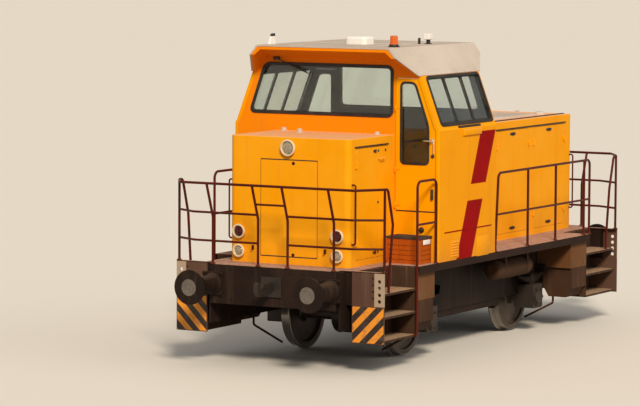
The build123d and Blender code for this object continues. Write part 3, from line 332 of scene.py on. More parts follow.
# Which finish each node of the solids has; the rest are yellow
finishes = {
    end_yellow_and_visor_shade: ["cab_front_wall", "cab_rear_wall"],
    cab_yellow: ["cab_side_left", "cab_side_right", "cab_door_front", "cab_door_rear"],
    enamel_grey: ["cab_roof", "hood_top_fittings"],
    enamel_white: ["roof_fittings"],
    step_paint: ["step_boxes"],
    enamel_black: ["main_frame", "headstocks", "leaf_springs", "buffers", "brake_gear", "fuel_tanks",
                   "radiator_grille"],
    enamel_plate: ["corner_steps"],
    bracket_paint: ["jacking_brackets"],
    sand_box_paint: ["sand_boxes", "air_reservoirs"],
    upright_paint: ["end_plates"],
    walkway_paint: ["deck"],
    enamel_rail: ["end_railings", "walkway_railings", "cab_handrails", "hood_handles"],
    wheel_steel: ["wheelset_front", "wheelset_rear"],
    cast_steel: ["axle_boxes", "draw_hooks", "final_drives", "transmission"],
    radiator_fins: ["radiator"],
    engine_enamel: ["engine"],
    amber: ["beacon"],
    cream_enamel: ["lamps"],
    window_rubber: ["side_window_frames"],
    cab_glass: ["cab_glass", "door_glass_front", "door_glass_rear"],
    floor_rubber: ["cab_floor"],
    desk_plastic: ["control_desk"],
    seat_cloth: ["driver_seat"],
}
finish_of = {node: material for material, names in finishes.items() for node in names}
for name, node in nodes.items():
    material = finish_of.get(name, enamel_yellow)
    if node.material_slots:
        for material_slot in node.material_slots:
            material_slot.material = material
    else:
        node.data.materials.append(material)


def at(x, y, height):
    """Place at a height above the level that the wheels run on."""
    return Vector((x, y, rail + height))


def soften(form, edges, width):
    """Rounds edges by a width."""
    if width:
        bmesh.ops.bevel(form, geom=edges, offset=width, offset_type="OFFSET", segments=2, profile=0.5,
                        affect="EDGES", material=-1)


def block(form, low, high, edge=0.0):
    """Box between two corners, with rounded edges."""
    verts = bmesh.ops.create_cube(form, size=1.0)["verts"]
    bmesh.ops.scale(form, vec=Vector(high) - Vector(low), verts=verts)
    bmesh.ops.translate(form, vec=(Vector(high) + Vector(low)) / 2, verts=verts)
    soften(form, list({e for v in verts for e in v.link_edges}), edge)


def rod(form, start, end, radius, tip=None, sides=20, edge=0.0):
    """Round bar or taper between two points, its end rims rounded."""
    line = Vector(end) - Vector(start)
    made = bmesh.ops.create_cone(form, cap_ends=True, segments=sides, radius1=radius,
                                 radius2=radius if tip is None else tip, depth=line.length)
    verts = made["verts"]
    bmesh.ops.rotate(form, verts=verts, cent=(0, 0, 0), matrix=line.to_track_quat("Z", "Y").to_matrix())
    bmesh.ops.translate(form, vec=(Vector(start) + Vector(end)) / 2, verts=verts)
    rims = {e for v in verts for e in v.link_edges if any(len(f.verts) > 4 for f in e.link_faces)}
    soften(form, list(rims), edge)


def turned(form, outline, centre, axis, steps=32):
    """Outline of (distance along the axis, radius) points, turned all the way round."""
    axis = Vector(axis)
    side = axis.orthogonal().normalized()
    verts = [form.verts.new(Vector(centre) + axis * along + side * radius) for along, radius in outline]
    edges = [form.edges.new(pair) for pair in zip(verts, verts[1:])]
    bmesh.ops.spin(form, geom=verts + edges, cent=centre, axis=axis, angle=math.tau, steps=steps,
                   use_merge=True)
    bmesh.ops.remove_doubles(form, verts=form.verts[:], dist=1e-5)


def plate(form, corners, thickness, corner=0.0, rim=0.0):
    """Flat plate with rounded corners, pushed out by a thickness vector. With a rim it is only
    a frame of that width."""
    before = set(form.faces)
    form.faces.new([form.verts.new(Vector(c)) for c in corners])
    face = (set(form.faces) - before).pop()
    if corner:
        bmesh.ops.bevel(form, geom=list(face.verts), offset=corner, offset_type="OFFSET", segments=6,
                        profile=0.5, affect="VERTICES", material=-1)
        face = (set(form.faces) - before).pop()
    faces = [face]
    if rim:
        faces = bmesh.ops.inset_region(form, faces=[face], thickness=rim, use_even_offset=True,
                                       use_boundary=True)["faces"]
        bmesh.ops.delete(form, geom=[face], context="FACES_ONLY")
    pushed = bmesh.ops.extrude_face_region(form, geom=faces)["geom"]
    verts = [v for v in pushed if isinstance(v, bmesh.types.BMVert)]
    bmesh.ops.translate(form, vec=thickness, verts=verts)


def turn_round(form, verts, about_x):
    """Turns points half round about an upright line."""
    bmesh.ops.rotate(form, verts=verts, cent=(about_x, 0, 0), matrix=Matrix.Rotation(math.pi, 3, "Z"))


def again(form, mirrored=False, about_x=0.0):
    """Everything made so far once more: on the other side, or turned half round about Z."""
    made = bmesh.ops.duplicate(form, geom=form.verts[:] + form.edges[:] + form.faces[:])["geom"]
    verts = [v for v in made if isinstance(v, bmesh.types.BMVert)]
    if mirrored:
        bmesh.ops.scale(form, vec=(1, -1, 1), verts=verts)
    else:
        turn_round(form, verts, about_x)


def at_four_corners(form):
    """Everything made so far at all four corners of the frame."""
    again(form, mirrored=True)
    again(form, about_x=0.0)


def finish(name, form, material, body="frame", edge=0.0, smooth=40.0):
    """Makes the object from its form and fixes it to a body."""
    bmesh.ops.recalc_face_normals(form, faces=form.faces[:])
    mesh = bpy.data.meshes.new(name)
    form.to_mesh(mesh)
    form.free()
    mesh.materials.append(material)
    mesh.shade_smooth()
    mesh.set_sharp_from_angle(angle=math.radians(smooth))
    piece = bpy.data.objects.new(name, mesh)
    bpy.context.collection.objects.link(piece)
    if edge:
        rounding = piece.modifiers.new("rounded_edges", "BEVEL")
        rounding.width = edge
        rounding.segments = 2
        rounding.limit_method = "ANGLE"
    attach(piece, body)
    return piece


def bolt(form, place, axis, radius=0.012, height=0.010):
    """Hexagon head on its washer."""
    place = Vector(place)
    axis = Vector(axis)
    washer_top = place + axis * height * 0.25
    rod(form, place, washer_top, radius * 1.5, sides=16)
    rod(form, washer_top, place + axis * height, radius, sides=6, edge=radius * 0.12)


def quarter_turn(form, place, axis, radius):
    """Head of a quarter-turn fastener."""
    turned(form, [(0.0, 0.0), (0.0, radius), (0.004, radius), (0.007, 0.010), (0.007, 0.0)], place, axis,
           steps=16)


def grown(corners, by):
    """Corners of an outline moved out from its middle by a margin each way."""
    middle = [sum(c[i] for c in corners) / len(corners) for i in (0, 1)]
    return [tuple(c[i] + math.copysign(by, c[i] - middle[i]) for i in (0, 1)) for c in corners]


# Window rubbers, round outlines of (Y, height) in the ends and of X and height in the sides
rubber_gap = 0.0005
rubber_out = 0.018
rubber_height = 0.012
screen_corners = [(0.855, 3.190), (0.855, 3.845), (-1.070, 3.845), (-1.310, 3.190)]
form = bmesh.new()
outline = [at(cab_front + rubber_gap, y, z) for y, z in grown(screen_corners, rubber_out)]
plate(form, outline, (rubber_height, 0, 0), corner=0.095, rim=0.046)
again(form, about_x=cab_middle)
finish("windscreen_rubbers", form, window_rubber, edge=0.004)

# The side panels lean in from a foot to a head, both as (Y, height)
lean_foot = (1.520, 3.065)
lean_head = (1.270, 3.730)
lean_slope = (lean_foot[0] - lean_head[0]) / (lean_head[1] - lean_foot[1])
side_window = [(0.450, 3.085), (1.935, 3.085), (1.935, 3.708), (0.450, 3.708)]
form = bmesh.new()
outline = [at(x, lean_foot[0] - (z - lean_foot[1]) * lean_slope, z)
           for x, z in grown(side_window, rubber_out)]
outward = Vector((0, 1, lean_slope)).normalized()
plate(form, outline, outward * rubber_height, corner=0.065, rim=0.040)
again(form, mirrored=True)
finish("side_window_rubbers", form, window_rubber, edge=0.004)

door_window = [(0.985, 2.580), (1.395, 2.580), (1.395, 3.090), (1.190, 3.645), (0.985, 3.645)]
for end in ("front", "rear"):
    form = bmesh.new()
    outline = [at(cab_front + rubber_gap, y, z) for y, z in grown(door_window, 0.012)]
    plate(form, outline, (0.010, 0, 0), corner=0.068, rim=0.032)
    if end == "rear":
        turn_round(form, form.verts[:], cab_middle)
    finish(f"door_window_rubber_{end}", form, window_rubber, body=f"cab_door_{end}",
           edge=0.003)

# Red bands on the cab sides, leaning forward at the foot, with a bare gap between them
band_lean = -0.408
band_width = 0.440
band_face = half_width + 0.0002
form = bmesh.new()
for foot_x, foot_z, head_z in ((0.715, 2.270, 2.960), (1.115, 1.300, 2.055)):
    head_x = foot_x + (head_z - foot_z) * band_lean
    outline = [at(foot_x, band_face, foot_z), at(foot_x + band_width, band_face, foot_z),
               at(head_x + band_width, band_face, head_z), at(head_x, band_face, head_z)]
    plate(form, outline, (0, 0.0008, 0))
again(form, mirrored=True)
finish("cab_side_bands", form, enamel_red)

# Lamps of the short hood: Y, height, radius inside the rim; the long hood's are the same
clear_lamps = [(0.0, 2.820, 0.078), (0.735, 1.450, 0.056), (-0.735, 1.450, 0.056)]
red_lamps = [(0.735, 1.705, 0.063), (-0.735, 1.705, 0.063)]
lens_seat = short_hood_end + 0.0262
lens_turns = [math.pi / part for part in (2, 3, 4, 6, 12)] + [0.0]
for kind, places, glass in (("clear", clear_lamps, lens_glass), ("red", red_lamps, red_glass)):
    lenses = bmesh.new()
    reflectors = bmesh.new()
    for y, z, r in places:
        seat = at(lens_seat, y, z)
        dome = [(0.014 + 0.014 * math.cos(turn), r * math.sin(turn)) for turn in lens_turns]
        turned(lenses, [(0.010, 0.0), (0.010, r)] + dome, seat, (1, 0, 0))
        bowl = [(0.0005, 0.0), (0.001, r * 0.3), (0.004, r * 0.7), (0.009, r), (0.007, r), (0.0004, 0.0)]
        turned(reflectors, bowl, seat, (1, 0, 0))
    for made in (lenses, reflectors):
        again(made, about_x=hood_middle)
    finish(f"lamp_lenses_{kind}", lenses, glass)
    finish(f"lamp_reflectors_{kind}", reflectors, reflector_with_painted_reflection)

# Cab doors: lever on its rose, grab rod on two feet, lock, strike and the seal along the sill
lever_y = 1.452
lever_z = 2.890
lever_out = cab_front + 0.042
grab_y = 1.476
grab_out = cab_front + 0.018
for end in ("front", "rear"):
    lever = bmesh.new()
    rod(lever, at(cab_front, lever_y, lever_z), at(lever_out, lever_y, lever_z), 0.013, edge=0.002)
    rod(lever, at(lever_out, 1.465, lever_z), at(lever_out, 1.330, lever_z + 0.003), 0.011, tip=0.009,
        edge=0.004)
    turned(lever, [(0.0, 0.0), (0.0, 0.030), (0.006, 0.030), (0.010, 0.022), (0.010, 0.0)],
           at(cab_front, lever_y, lever_z), (1, 0, 0), steps=24)
    rod(lever, at(grab_out, grab_y, 2.725), at(grab_out, grab_y, 2.868), 0.009, sides=16, edge=0.004)
    for z in (2.735, 2.858):
        rod(lever, at(cab_front, grab_y, z), at(grab_out, grab_y, z), 0.006, sides=12)
    lock = bmesh.new()
    turned(lock, [(0.0, 0.0), (0.0, 0.026), (0.010, 0.024), (0.014, 0.016), (0.014, 0.0)],
           at(cab_front, 1.455, 2.690), (1, 0, 0), steps=24)
    block(lock, at(cab_front, 1.440, 2.120), at(cab_front + 0.030, 1.470, 2.260), edge=0.006)
    block(lock, at(cab_front - sunk, 0.920, 1.957), at(cab_front + 0.004, 1.485, 1.969), edge=0.002)
    for made, name, material in ((lever, "door_lever", chrome), (lock, "door_lock", black_plastic)):
        if end == "rear":
            turn_round(made, made.verts[:], cab_middle)
        finish(f"{name}_{end}", made, material, body=f"cab_door_{end}")

# Wipers of both windscreens: motor box above the glass, arm and blade on it
pivot = at(cab_front + 0.022, -0.880, 3.905)
tip = pivot + Vector((0.006, 0.46, -0.165))
blade = (tip - pivot).normalized()
blade_middle = pivot.lerp(tip, 0.72) + Vector((-0.004, 0, -0.012))
form = bmesh.new()
block(form, pivot - Vector((0.0215, 0.060, 0.018)), pivot + Vector((0.014, 0.035, 0.028)), edge=0.008)
rod(form, pivot, tip, 0.007, tip=0.005, sides=10)
rod(form, blade_middle - blade * 0.22, blade_middle + blade * 0.18, 0.006, sides=8)
again(form, about_x=cab_middle)
finish("windscreen_wipers", form, black_plastic)

# Cab side: louvres on their plate and a hatch above the frame, a tray under the window, a bead
side_face = half_width - sunk
form = bmesh.new()
for row in range(6):
    foot = 1.345 + row * 0.036
    block(form, at(1.500, side_face, foot), at(1.700, half_width + 0.012, foot + 0.016), edge=0.004)
block(form, at(1.490, side_face, 1.325), at(1.710, half_width + 0.003, 1.555))
hatch_face = half_width + 0.004
block(form, at(0.620, side_face, 1.290), at(0.960, hatch_face, 1.550), edge=0.002)
for x in (0.640, 0.940):
    bolt(form, at(x, hatch_face, 1.420), (0, 1, 0), radius=0.008)
block(form, at(0.880, side_face, 2.925), at(1.390, half_width + 0.022, 3.008), edge=0.006)
again(form, mirrored=True)
finish("cab_side_fittings", form, enamel_yellow)
form = bmesh.new()
block(form, at(0.540, side_face, 1.672), at(1.910, half_width + 0.007, 1.687), edge=0.003)
again(form, mirrored=True)
finish("cab_side_beads", form, enamel_red)

# Step boxes at the cab doors: louvred faces with ribs, ribbed rubber treads with a nosing, a white
# plate under the outer nosing that is a painted highlight, and a socket on the wall above
step_front = 2.400
step_inner = 0.950
step_outer = 1.450
step_top = 1.640
louvres = bmesh.new()
for row in range(4):
    foot = 1.355 + row * 0.062
    block(louvres, at(step_front - sunk, step_inner + 0.030, foot),
          at(step_front + 0.010, step_outer - 0.030, foot + 0.014), edge=0.004)
    block(louvres, at(cab_front + 0.040, step_outer - sunk, foot),
          at(step_front - 0.030, step_outer + 0.010, foot + 0.014), edge=0.004)
for y in (step_inner + 0.012, 1.120, 1.280, step_outer - 0.012):
    block(louvres, at(step_front - sunk, y - 0.010, 1.325), at(step_front + 0.006, y + 0.010, 1.610),
          edge=0.003)
tread_back = cab_front + 0.002
tread_front = step_front + 0.012
tread_inner = step_inner - 0.008
tread_outer = step_outer + 0.012
nosing_foot = step_top - 0.014
nosing_top = step_top + 0.004
treads = bmesh.new()
block(treads, at(tread_back, tread_inner, step_top - sunk), at(tread_front, tread_outer, step_top + 0.012),
      edge=0.005)
block(treads, at(step_front - sunk, tread_inner, nosing_foot), at(tread_front, tread_outer, nosing_top),
      edge=0.004)
block(treads, at(tread_back, step_outer - sunk, nosing_foot),
      at(step_front + 0.004, tread_outer, nosing_top), edge=0.004)
for row in range(7):
    x = cab_front + 0.045 + row * 0.042
    block(treads, at(x, step_inner + 0.012, step_top + 0.011),
          at(x + 0.018, step_outer - 0.008, step_top + 0.016), edge=0.002)
# White strip under each outer nosing: a painted highlight on that edge
plates = bmesh.new()
block(plates, at(cab_front + 0.060, step_outer + 0.009, 1.552),
      at(step_front - 0.070, step_outer + 0.0125, 1.612), edge=0.001)
sockets = bmesh.new()
turned(sockets, [(0.0, 0.0), (0.0, 0.038), (0.010, 0.038), (0.014, 0.030), (0.034, 0.028), (0.040, 0.022),
                 (0.040, 0.0)], at(cab_front, 1.300, 1.720), (1, 0, 0), steps=28)
for made, name, material, slot in ((louvres, "step_box_louvres", step_paint, "body_paint"),
                                   (treads, "step_box_treads", floor_rubber, "window_rubber"),
                                   (plates, "step_box_painted_highlights", enamel_white, "roof_paint"),
                                   (sockets, "cab_end_sockets", black_plastic, "rail_paint")):
    again(made, about_x=cab_middle)
    finish(name, made, material)

# Bolts on the jacking brackets
form = bmesh.new()
for z in (1.230, 0.910):
    for x in (2.140, 2.520):
        bolt(form, at(x, 1.500, z), (0, 1, 0), radius=0.014)
at_four_corners(form)
finish("bracket_bolts", form, worn_steel)

# Rubber seal round the nose cover
seal_y = 0.4225
seal_back = short_hood_end - 0.004
form = bmesh.new()
for z in (1.4025, 2.6625):
    block(form, at(seal_back, -seal_y, z - 0.007), at(short_hood_end + 0.0025, seal_y, z + 0.007),
          edge=0.002)
for y in (-seal_y, seal_y):
    block(form, at(seal_back, y - 0.003, 1.402), at(short_hood_end + 0.0018, y + 0.003, 2.662), edge=0.001)
finish("nose_cover_seal", form, window_rubber)

# Eave gutters of the cab roof, and the dark rail under each side window, which is partly painted shade
roof_slope = Vector((0, -0.170, 0.240)).normalized()
roof_normal = Vector((0, 0.240, 0.170)).normalized()
eave = at(0, *lean_head)
low = eave + roof_slope * 0.002
high = eave + roof_slope * 0.070
outline = [low + Vector((0.365, 0, 0)), low + Vector((2.105, 0, 0)), high + Vector((2.135, 0, 0)),
           high + Vector((0.335, 0, 0))]
form = bmesh.new()
plate(form, outline, roof_normal * 0.008)
again(form, mirrored=True)
finish("eave_gutters", form, enamel_grey, edge=0.003)
# Dark strip under each side window: partly a rail, partly painted shadow of the window rubber above it
form = bmesh.new()
block(form, at(0.860, half_width - 0.060, 3.028), at(1.500, half_width - 0.004, 3.060), edge=0.006)
again(form, mirrored=True)
finish("side_window_rails_and_painted_shade", form, window_rubber)

# Striped boards on the feet of the corner plates
form = bmesh.new()
block(form, at(corner_face, 1.090, 0.390), at(corner_face + 0.002, 1.540, 0.850))
at_four_corners(form)
finish("corner_plate_boards", form, warning_stripes)

# Bolts on the corner plates, buffer bases and beams
plate_back = 3.533
base_face = headstock_face + 0.025
base_bolts = (-0.130, 0.130)
form = bmesh.new()
for z in (0.970, 1.055, 1.140, 1.225):
    bolt(form, at(corner_face, 1.385, z), (1, 0, 0), radius=0.008)
for y in base_bolts:
    for z in base_bolts:
        bolt(form, (base_face, buffer_y + y, buffer_z + z), (1, 0, 0), radius=0.018, height=0.022)
for y, z in ((1.110, 1.130), (1.120, 0.980), (1.220, 1.210)):
    bolt(form, at(plate_back, y, z), (1, 0, 0), radius=0.014)
for y in (0.28, 0.46, 0.62):
    for z in (0.86, 1.24):
        bolt(form, at(headstock_face, y, z), (1, 0, 0), radius=0.011)
at_four_corners(form)
finish("beam_bolts", form, enamel_black)

# Feet of the railing posts on the deck, along the sides and at the ends
side_post_y = 1.530
foot_outline = [(0.0, 0.017), (0.0, 0.036), (0.006, 0.036), (0.010, 0.024), (0.022, 0.019), (0.022, 0.0165)]
form = bmesh.new()
for x in (0.370, -0.620, -1.500, -2.430, -2.610, 2.100):
    turned(form, foot_outline, (x, side_post_y, deck_top), (0, 0, 1), steps=20)
again(form, mirrored=True)
finish("post_feet_sides", form, enamel_rail)
form = bmesh.new()
for x, y in ((3.700, 0.220), (3.700, 0.900), (3.510, side_post_y)):
    turned(form, foot_outline, (x, y, deck_top), (0, 0, 1), steps=20)
at_four_corners(form)
finish("post_feet_ends", form, enamel_rail)

# Latches on the hood leaves: name of the leaf, X of its free edge, way to its hinge
latch_heights = (1.450, 2.770)
leaf_latches = [("short_hood_door_1_front", 2.565, 1)]
for number, meeting in ((1, -1.430), (2, -2.590)):
    leaf_latches.append((f"long_hood_door_{number}_front", meeting, 1))
    leaf_latches.append((f"long_hood_door_{number}_rear", meeting, -1))
for leaf, free_x, inward in leaf_latches:
    for side, sign in (("left", 1), ("right", -1)):
        form = bmesh.new()
        for z in latch_heights:
            block(form, at(free_x + inward * 0.008, sign * hood_half_width, z - 0.022),
                  at(free_x + inward * 0.040, sign * (hood_half_width + 0.010), z + 0.022), edge=0.003)
            quarter_turn(form, at(free_x + inward * 0.065, sign * hood_half_width, z), (0, sign, 0), 0.020)
        body = f"{leaf}_{side}"
        finish(f"{body}_latches", form, black_plastic, body=body)

# Fasteners of the lift-off panels beside the short hood's leaves
form = bmesh.new()
for x in (2.320, 2.515):
    for z in (1.450, 2.100, 2.770):
        quarter_turn(form, at(x, hood_half_width, z), (0, 1, 0), 0.018)
again(form, mirrored=True)
finish("short_hood_panel_fasteners", form, black_plastic)

# Rain strips over the hood doors, and the rubber strip along the long hood's top edge. Their black is
# partly painted shade: the shadow line over the doors and the shaded edge of the hood's top
form = bmesh.new()
for low_x, high_x in ((2.250, 3.150), (-3.130, -0.890)):
    block(form, at(low_x, hood_half_width - sunk, 2.838), at(high_x, hood_half_width + 0.014, 2.856),
          edge=0.004)
block(form, (-3.270, 0.768, hood_top - sunk), (0.385, 0.806, hood_top + 0.012), edge=0.004)
again(form, mirrored=True)
finish("hood_strips_and_painted_shade", form, window_rubber)

# Nose: catches of the cover, and lamp irons beside it
form = bmesh.new()
for z in (1.430, 2.620):
    turned(form, [(0.0, 0.0), (0.0, 0.022), (0.005, 0.022), (0.008, 0.012), (0.012, 0.010), (0.012, 0.0)],
           at(short_hood_end, 0.065, z), (1, 0, 0), steps=20)
iron_face = short_hood_end + 0.006
for y in (-0.540, 0.540):
    block(form, at(short_hood_end - sunk, y - 0.018, 1.468), at(iron_face, y + 0.018, 1.528), edge=0.002)
    block(form, at(short_hood_end + 0.004, y - 0.012, 1.470), at(short_hood_end + 0.040, y + 0.012, 1.478),
          edge=0.002)
    bolt(form, at(iron_face, y, 1.510), (1, 0, 0), radius=0.008)
finish("nose_catches", form, enamel_rail)

# Caps on the short hood's top: X, Y, radius, height
cap_places = ((2.150, -0.740, 0.035, 0.045), (2.390, -0.360, 0.035, 0.055), (2.200, 0.700, 0.030, 0.040))
form = bmesh.new()
for x, y, radius, height in cap_places:
    flange = radius + 0.018
    turned(form, [(-sunk, 0.0), (-sunk, flange), (0.008, flange), (0.010, radius), (height - 0.010, radius),
                  (height, radius - 0.012), (height, 0.0)], (x, y, hood_top), (0, 0, 1), steps=28)
finish("hood_filler_caps", form, enamel_grey)

# Dark parts of the roof fittings: horn foot, aerial fin, visor of the bracket, beacon foot
horn = Vector((0.890, 0.760, roof_top))
fin_y = -0.9655
form = bmesh.new()
rod(form, horn, horn + Vector((0, 0, 0.060)), 0.0275, sides=24)
turned(form, [(0.0, 0.0), (0.0, 0.050), (0.008, 0.050), (0.012, 0.030), (0.012, 0.0)], horn, (0, 0, 1),
       steps=24)
block(form, (0.938, 0.650, roof_top), (0.982, 0.670, roof_top + 0.082), edge=0.003)
outline = [(x, fin_y, roof_top + z) for x, z in ((2.0535, 0.105), (2.1395, 0.105), (2.1225, 0.1365),
                                                 (2.0585, 0.1415))]
plate(form, outline, (0, 0.031, 0))
turned(form, [(0.0, 0.0), (0.0, 0.078), (0.010, 0.078), (0.014, 0.063), (0.030, 0.0625), (0.034, 0.0605),
              (0.034, 0.0)], (2.030, 0.850, roof_top), (0, 0, 1), steps=32)
finish("roof_fitting_trims", form, black_plastic)

# Desk: instrument pod with dials, brake and power handles
pod_face = 1.900
dial_z = cab_floor_top + 0.965
form = bmesh.new()
block(form, (pod_face, -0.980, cab_floor_top + 0.850), (2.000, -0.220, cab_floor_top + 1.060), edge=0.018)
dials = bmesh.new()
for y in (-0.880, -0.740, -0.600, -0.460, -0.320):
    turned(form, [(0.0, 0.0), (0.0, 0.052), (0.012, 0.050), (0.012, 0.044), (0.004, 0.043), (0.004, 0.0)],
           (pod_face, y, dial_z), (-1, 0, 0))
    turned(dials, [(0.0045, 0.0), (0.0045, 0.042), (0.006, 0.042), (0.006, 0.0)], (pod_face, y, dial_z),
           (-1, 0, 0))
for y, lean in ((-1.150, 0.05), (-0.100, -0.04), (0.020, 0.02)):
    foot = Vector((1.720, y, cab_floor_top + 0.820))
    rod(form, foot, foot + Vector((lean, 0, 0.150)), 0.008, sides=12)
    turned(form, [(-0.024, 0.0), (-0.018, 0.014), (0.0, 0.022), (0.018, 0.014), (0.024, 0.0)],
           foot + Vector((lean, 0, 0.160)), (0, 0, 1), steps=20)
    block(form, foot + Vector((-0.090, -0.022, -0.010)), foot + Vector((0.090, 0.022, 0.022)), edge=0.006)
finish("desk_instruments", form, black_plastic)
finish("desk_dial_faces", dials, dial_enamel)


def cushion(form, low, high, crown, pull):
    """Stuffed pad: its faces crown, its sides pull in between the corners, its rims are round."""
    block(form, low, high)
    bmesh.ops.subdivide_edges(form, edges=form.edges[:], cuts=11, use_grid_fill=True)
    middle = (Vector(low) + Vector(high)) / 2
    half = (Vector(high) - Vector(low)) / 2
    for vert in form.verts:
        u, v, w = ((vert.co[i] - middle[i]) / half[i] for i in range(3))
        lifted = crown * (1 - u * u) * (1 - v * v) * w
        drawn_x = 1 - pull * (1 - v * v) * (1 - w * w)
        drawn_y = 1 - pull * (1 - u * u) * (1 - w * w)
        vert.co = middle + Vector((u * half[0] * drawn_x, v * half[1] * drawn_y, w * half[2] + lifted))
    for _ in range(5):
        bmesh.ops.smooth_vert(form, verts=form.verts[:], factor=0.5, use_axis_x=True, use_axis_y=True,
                              use_axis_z=True)


# Driver's seat: a cushion and a back on a frame with its column and bellows
seat = Vector((1.150, -0.700, cab_floor_top))
back_lean = Matrix.Rotation(math.radians(-7.5), 3, "Y")
form = bmesh.new()
cushion(form, seat + Vector((-0.235, -0.235, 0.425)), seat + Vector((0.235, 0.235, 0.530)),
        crown=0.022, pull=0.05)
seat_cushion = finish("seat_cushion", form, seat_cloth, smooth=80.0)
form = bmesh.new()
cushion(form, (-0.055, -0.225, 0.0), (0.045, 0.225, 0.590), crown=0.0, pull=0.04)
bmesh.ops.rotate(form, verts=form.verts[:], cent=(0, 0, 0), matrix=back_lean)
bmesh.ops.translate(form, verts=form.verts[:], vec=seat + Vector((-0.165, 0, 0.480)))
seat_back = finish("seat_back_pad", form, seat_cloth, smooth=80.0)
form = bmesh.new()
turned(form, [(0.0, 0.0), (0.0, 0.190), (0.012, 0.190), (0.025, 0.170), (0.030, 0.070), (0.200, 0.056),
              (0.205, 0.066), (0.225, 0.066), (0.230, 0.054), (0.250, 0.066), (0.270, 0.054), (0.290, 0.066),
              (0.310, 0.054), (0.330, 0.066), (0.350, 0.054), (0.390, 0.060), (0.392, 0.0)], seat, (0, 0, 1))
block(form, seat + Vector((-0.200, -0.200, 0.385)), seat + Vector((0.200, 0.200, 0.428)), edge=0.010)
rod(form, seat + Vector((0.050, 0.200, 0.400)), seat + Vector((0.130, 0.250, 0.410)), 0.007, sides=12,
    edge=0.002)
for y in (-0.150, 0.150):
    rod(form, seat + Vector((-0.180, y, 0.400)), seat + Vector((-0.245, y, 0.800)), 0.012, sides=14,
        edge=0.003)
seat_frame = finish("seat_frame", form, black_plastic)
for piece in (seat_cushion, seat_back, seat_frame):
    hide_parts("driver_seat")

# Bolts round the axle box collars and on the spring buckles
collar_radius = 0.116
form = bmesh.new()
for x in (axle_x, -axle_x):
    for number in range(6):
        turn = math.tau * number / 6
        bolt(form, (x + collar_radius * math.cos(turn), 1.234, axle_z + collar_radius * math.sin(turn)),
             (0, 1, 0), height=0.016)
    bolt(form, at(x, 1.142, 0.700), (0, 1, 0), radius=0.014, height=0.016)
again(form, mirrored=True)
finish("axle_box_bolts", form, cast_steel)

# Bright wear on the buffer heads
form = bmesh.new()
turned(form, [(0.0, 0.0), (0.0004, 0.108), (0.0008, 0.100), (0.0008, 0.0)],
       (buffer_face, buffer_y, buffer_z), (1, 0, 0), steps=40)
at_four_corners(form)
finish("buffer_wear", form, worn_steel)

# Seams of the roof sheets
form = bmesh.new()
for y in (-0.500, 0.500):
    rod(form, (0.050, y, roof_top), (2.430, y, roof_top), 0.006, sides=12)
rod(form, (cab_middle, -0.990, roof_top), (cab_middle, 0.990, roof_top), 0.006, sides=12)
finish("roof_seams", form, enamel_grey)

# Bolts and handles of the panels on the long hood
panel_top = hood_top + 0.025
handle_top = panel_top + 0.040
handle_y = 0.400
form = bmesh.new()
for low_x, high_x in ((-2.700, -1.650), (-1.600, -0.400)):
    for step in range(7):
        x = low_x + 0.060 + (high_x - low_x - 0.120) * step / 6
        bolt(form, (x, 0.570, panel_top), (0, 0, 1), radius=0.010)
    for x in (low_x + 0.150, high_x - 0.150):
        for post_x in (x - 0.050, x + 0.050):
            rod(form, (post_x, handle_y, panel_top), (post_x, handle_y, handle_top), 0.008, sides=12)
        rod(form, (x - 0.058, handle_y, handle_top), (x + 0.058, handle_y, handle_top), 0.008, sides=12,
            edge=0.002)
again(form, mirrored=True)
finish("hood_panel_bolts", form, enamel_grey)

# Air pipes along the frame plates, with their unions and clips: Y, height, radius
form = bmesh.new()
for y, z, radius in ((0.998, 1.155, 0.013), (1.030, 1.185, 0.009)):
    rod(form, at(-2.480, y, z), at(2.480, y, z), radius, sides=14)
    for x in (-2.350, -1.150, -0.350, 0.350, 1.150, 2.350):
        rod(form, at(x - 0.022, y, z), at(x + 0.022, y, z), radius * 1.7, sides=6, edge=0.002)
for x in (-2.000, -0.700, 0.700, 2.000):
    block(form, at(x - 0.015, 0.980, 1.120), at(x + 0.015, 1.045, 1.205), edge=0.003)
again(form, mirrored=True)
finish("frame_air_pipes", form, enamel_black)

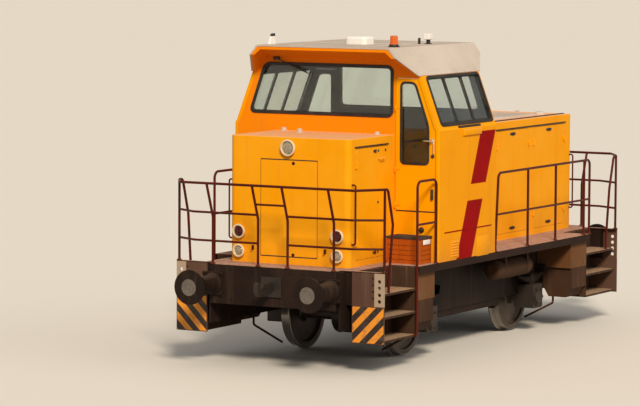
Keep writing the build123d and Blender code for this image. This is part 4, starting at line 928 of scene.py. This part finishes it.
# Floor, with its own colour for the camera and for what metal and glass show
floor_mesh = bpy.data.meshes.new("studio_floor")
form = bmesh.new()
bmesh.ops.create_grid(form, x_segments=1, y_segments=1, size=400.0)
form.to_mesh(floor_mesh)
form.free()
floor = bpy.data.objects.new("studio_floor", floor_mesh)
bpy.context.collection.objects.link(floor)
floor_paint, tree, shader, _ = new_material("pale_studio_floor", Roughness=0.9, Specular_IOR_Level=0.1)
rays = add(tree, "ShaderNodeLightPath").outputs
seen = rays["Is Camera Ray"]
for kind in ("Is Glossy Ray", "Is Transmission Ray"):
    seen = add(tree, "ShaderNodeMath", {0: seen, 1: rays[kind]}, operation="MAXIMUM").outputs[0]
colour = add(tree, "ShaderNodeMixRGB", {"Fac": seen, "Color1": linear("8E877C"), "Color2": linear("DDD8D0")})
tree.links.new(colour.outputs[0], shader.inputs["Base Color"])
floor.data.materials.append(floor_paint)

world = bpy.data.worlds.new("studio_sky")
world.use_nodes = True
sky = world.node_tree.nodes["Background"]
sky.inputs["Color"].default_value = linear("F2F0EC")
sky.inputs["Strength"].default_value = 0.5
bpy.context.scene.world = world


def soft_sun(name, toward, strength, angle, colour):
    """Broad soft light from a direction, like a large studio panel far away."""
    lamp = bpy.data.lights.new(name, "SUN")
    lamp.energy = strength
    lamp.angle = math.radians(angle)
    lamp.color = linear(colour)[:3]
    holder = bpy.data.objects.new(name, lamp)
    holder.rotation_mode = "QUATERNION"
    holder.rotation_quaternion = Vector(toward).to_track_quat("Z", "Y")
    bpy.context.collection.objects.link(holder)


soft_sun("key_panel", toward=(0.80, 0.62, 0.72), strength=3.2, angle=12.0, colour="FFF1DC")
soft_sun("side_panel", toward=(-0.2, 1.0, 0.6), strength=0.4, angle=40.0, colour="FFF6EA")

# Camera, as fitted to the photograph
camera_place = Vector((41.1338, 21.8583, 5.9466))
camera_line = Vector((-0.867204, -0.490305, -0.086940))
camera_roll = math.radians(0.275)
focal_pixels = 3389.34
picture_width = 640
camera_data = bpy.data.cameras.new("photo_camera")
camera_data.sensor_width = 36.0
camera_data.lens = focal_pixels * camera_data.sensor_width / picture_width
camera_data.clip_end = 1000.0
camera = bpy.data.objects.new("photo_camera", camera_data)
camera.location = camera_place
camera.rotation_mode = "QUATERNION"
turn = camera_line.to_track_quat("-Z", "Y")
roll = Matrix.Rotation(camera_roll, 3, Vector((0.0, 0.0, 1.0))).to_quaternion()
camera.rotation_quaternion = turn @ roll
bpy.context.collection.objects.link(camera)
bpy.context.scene.camera = camera
bpy.context.scene.view_settings.view_transform = "Standard"
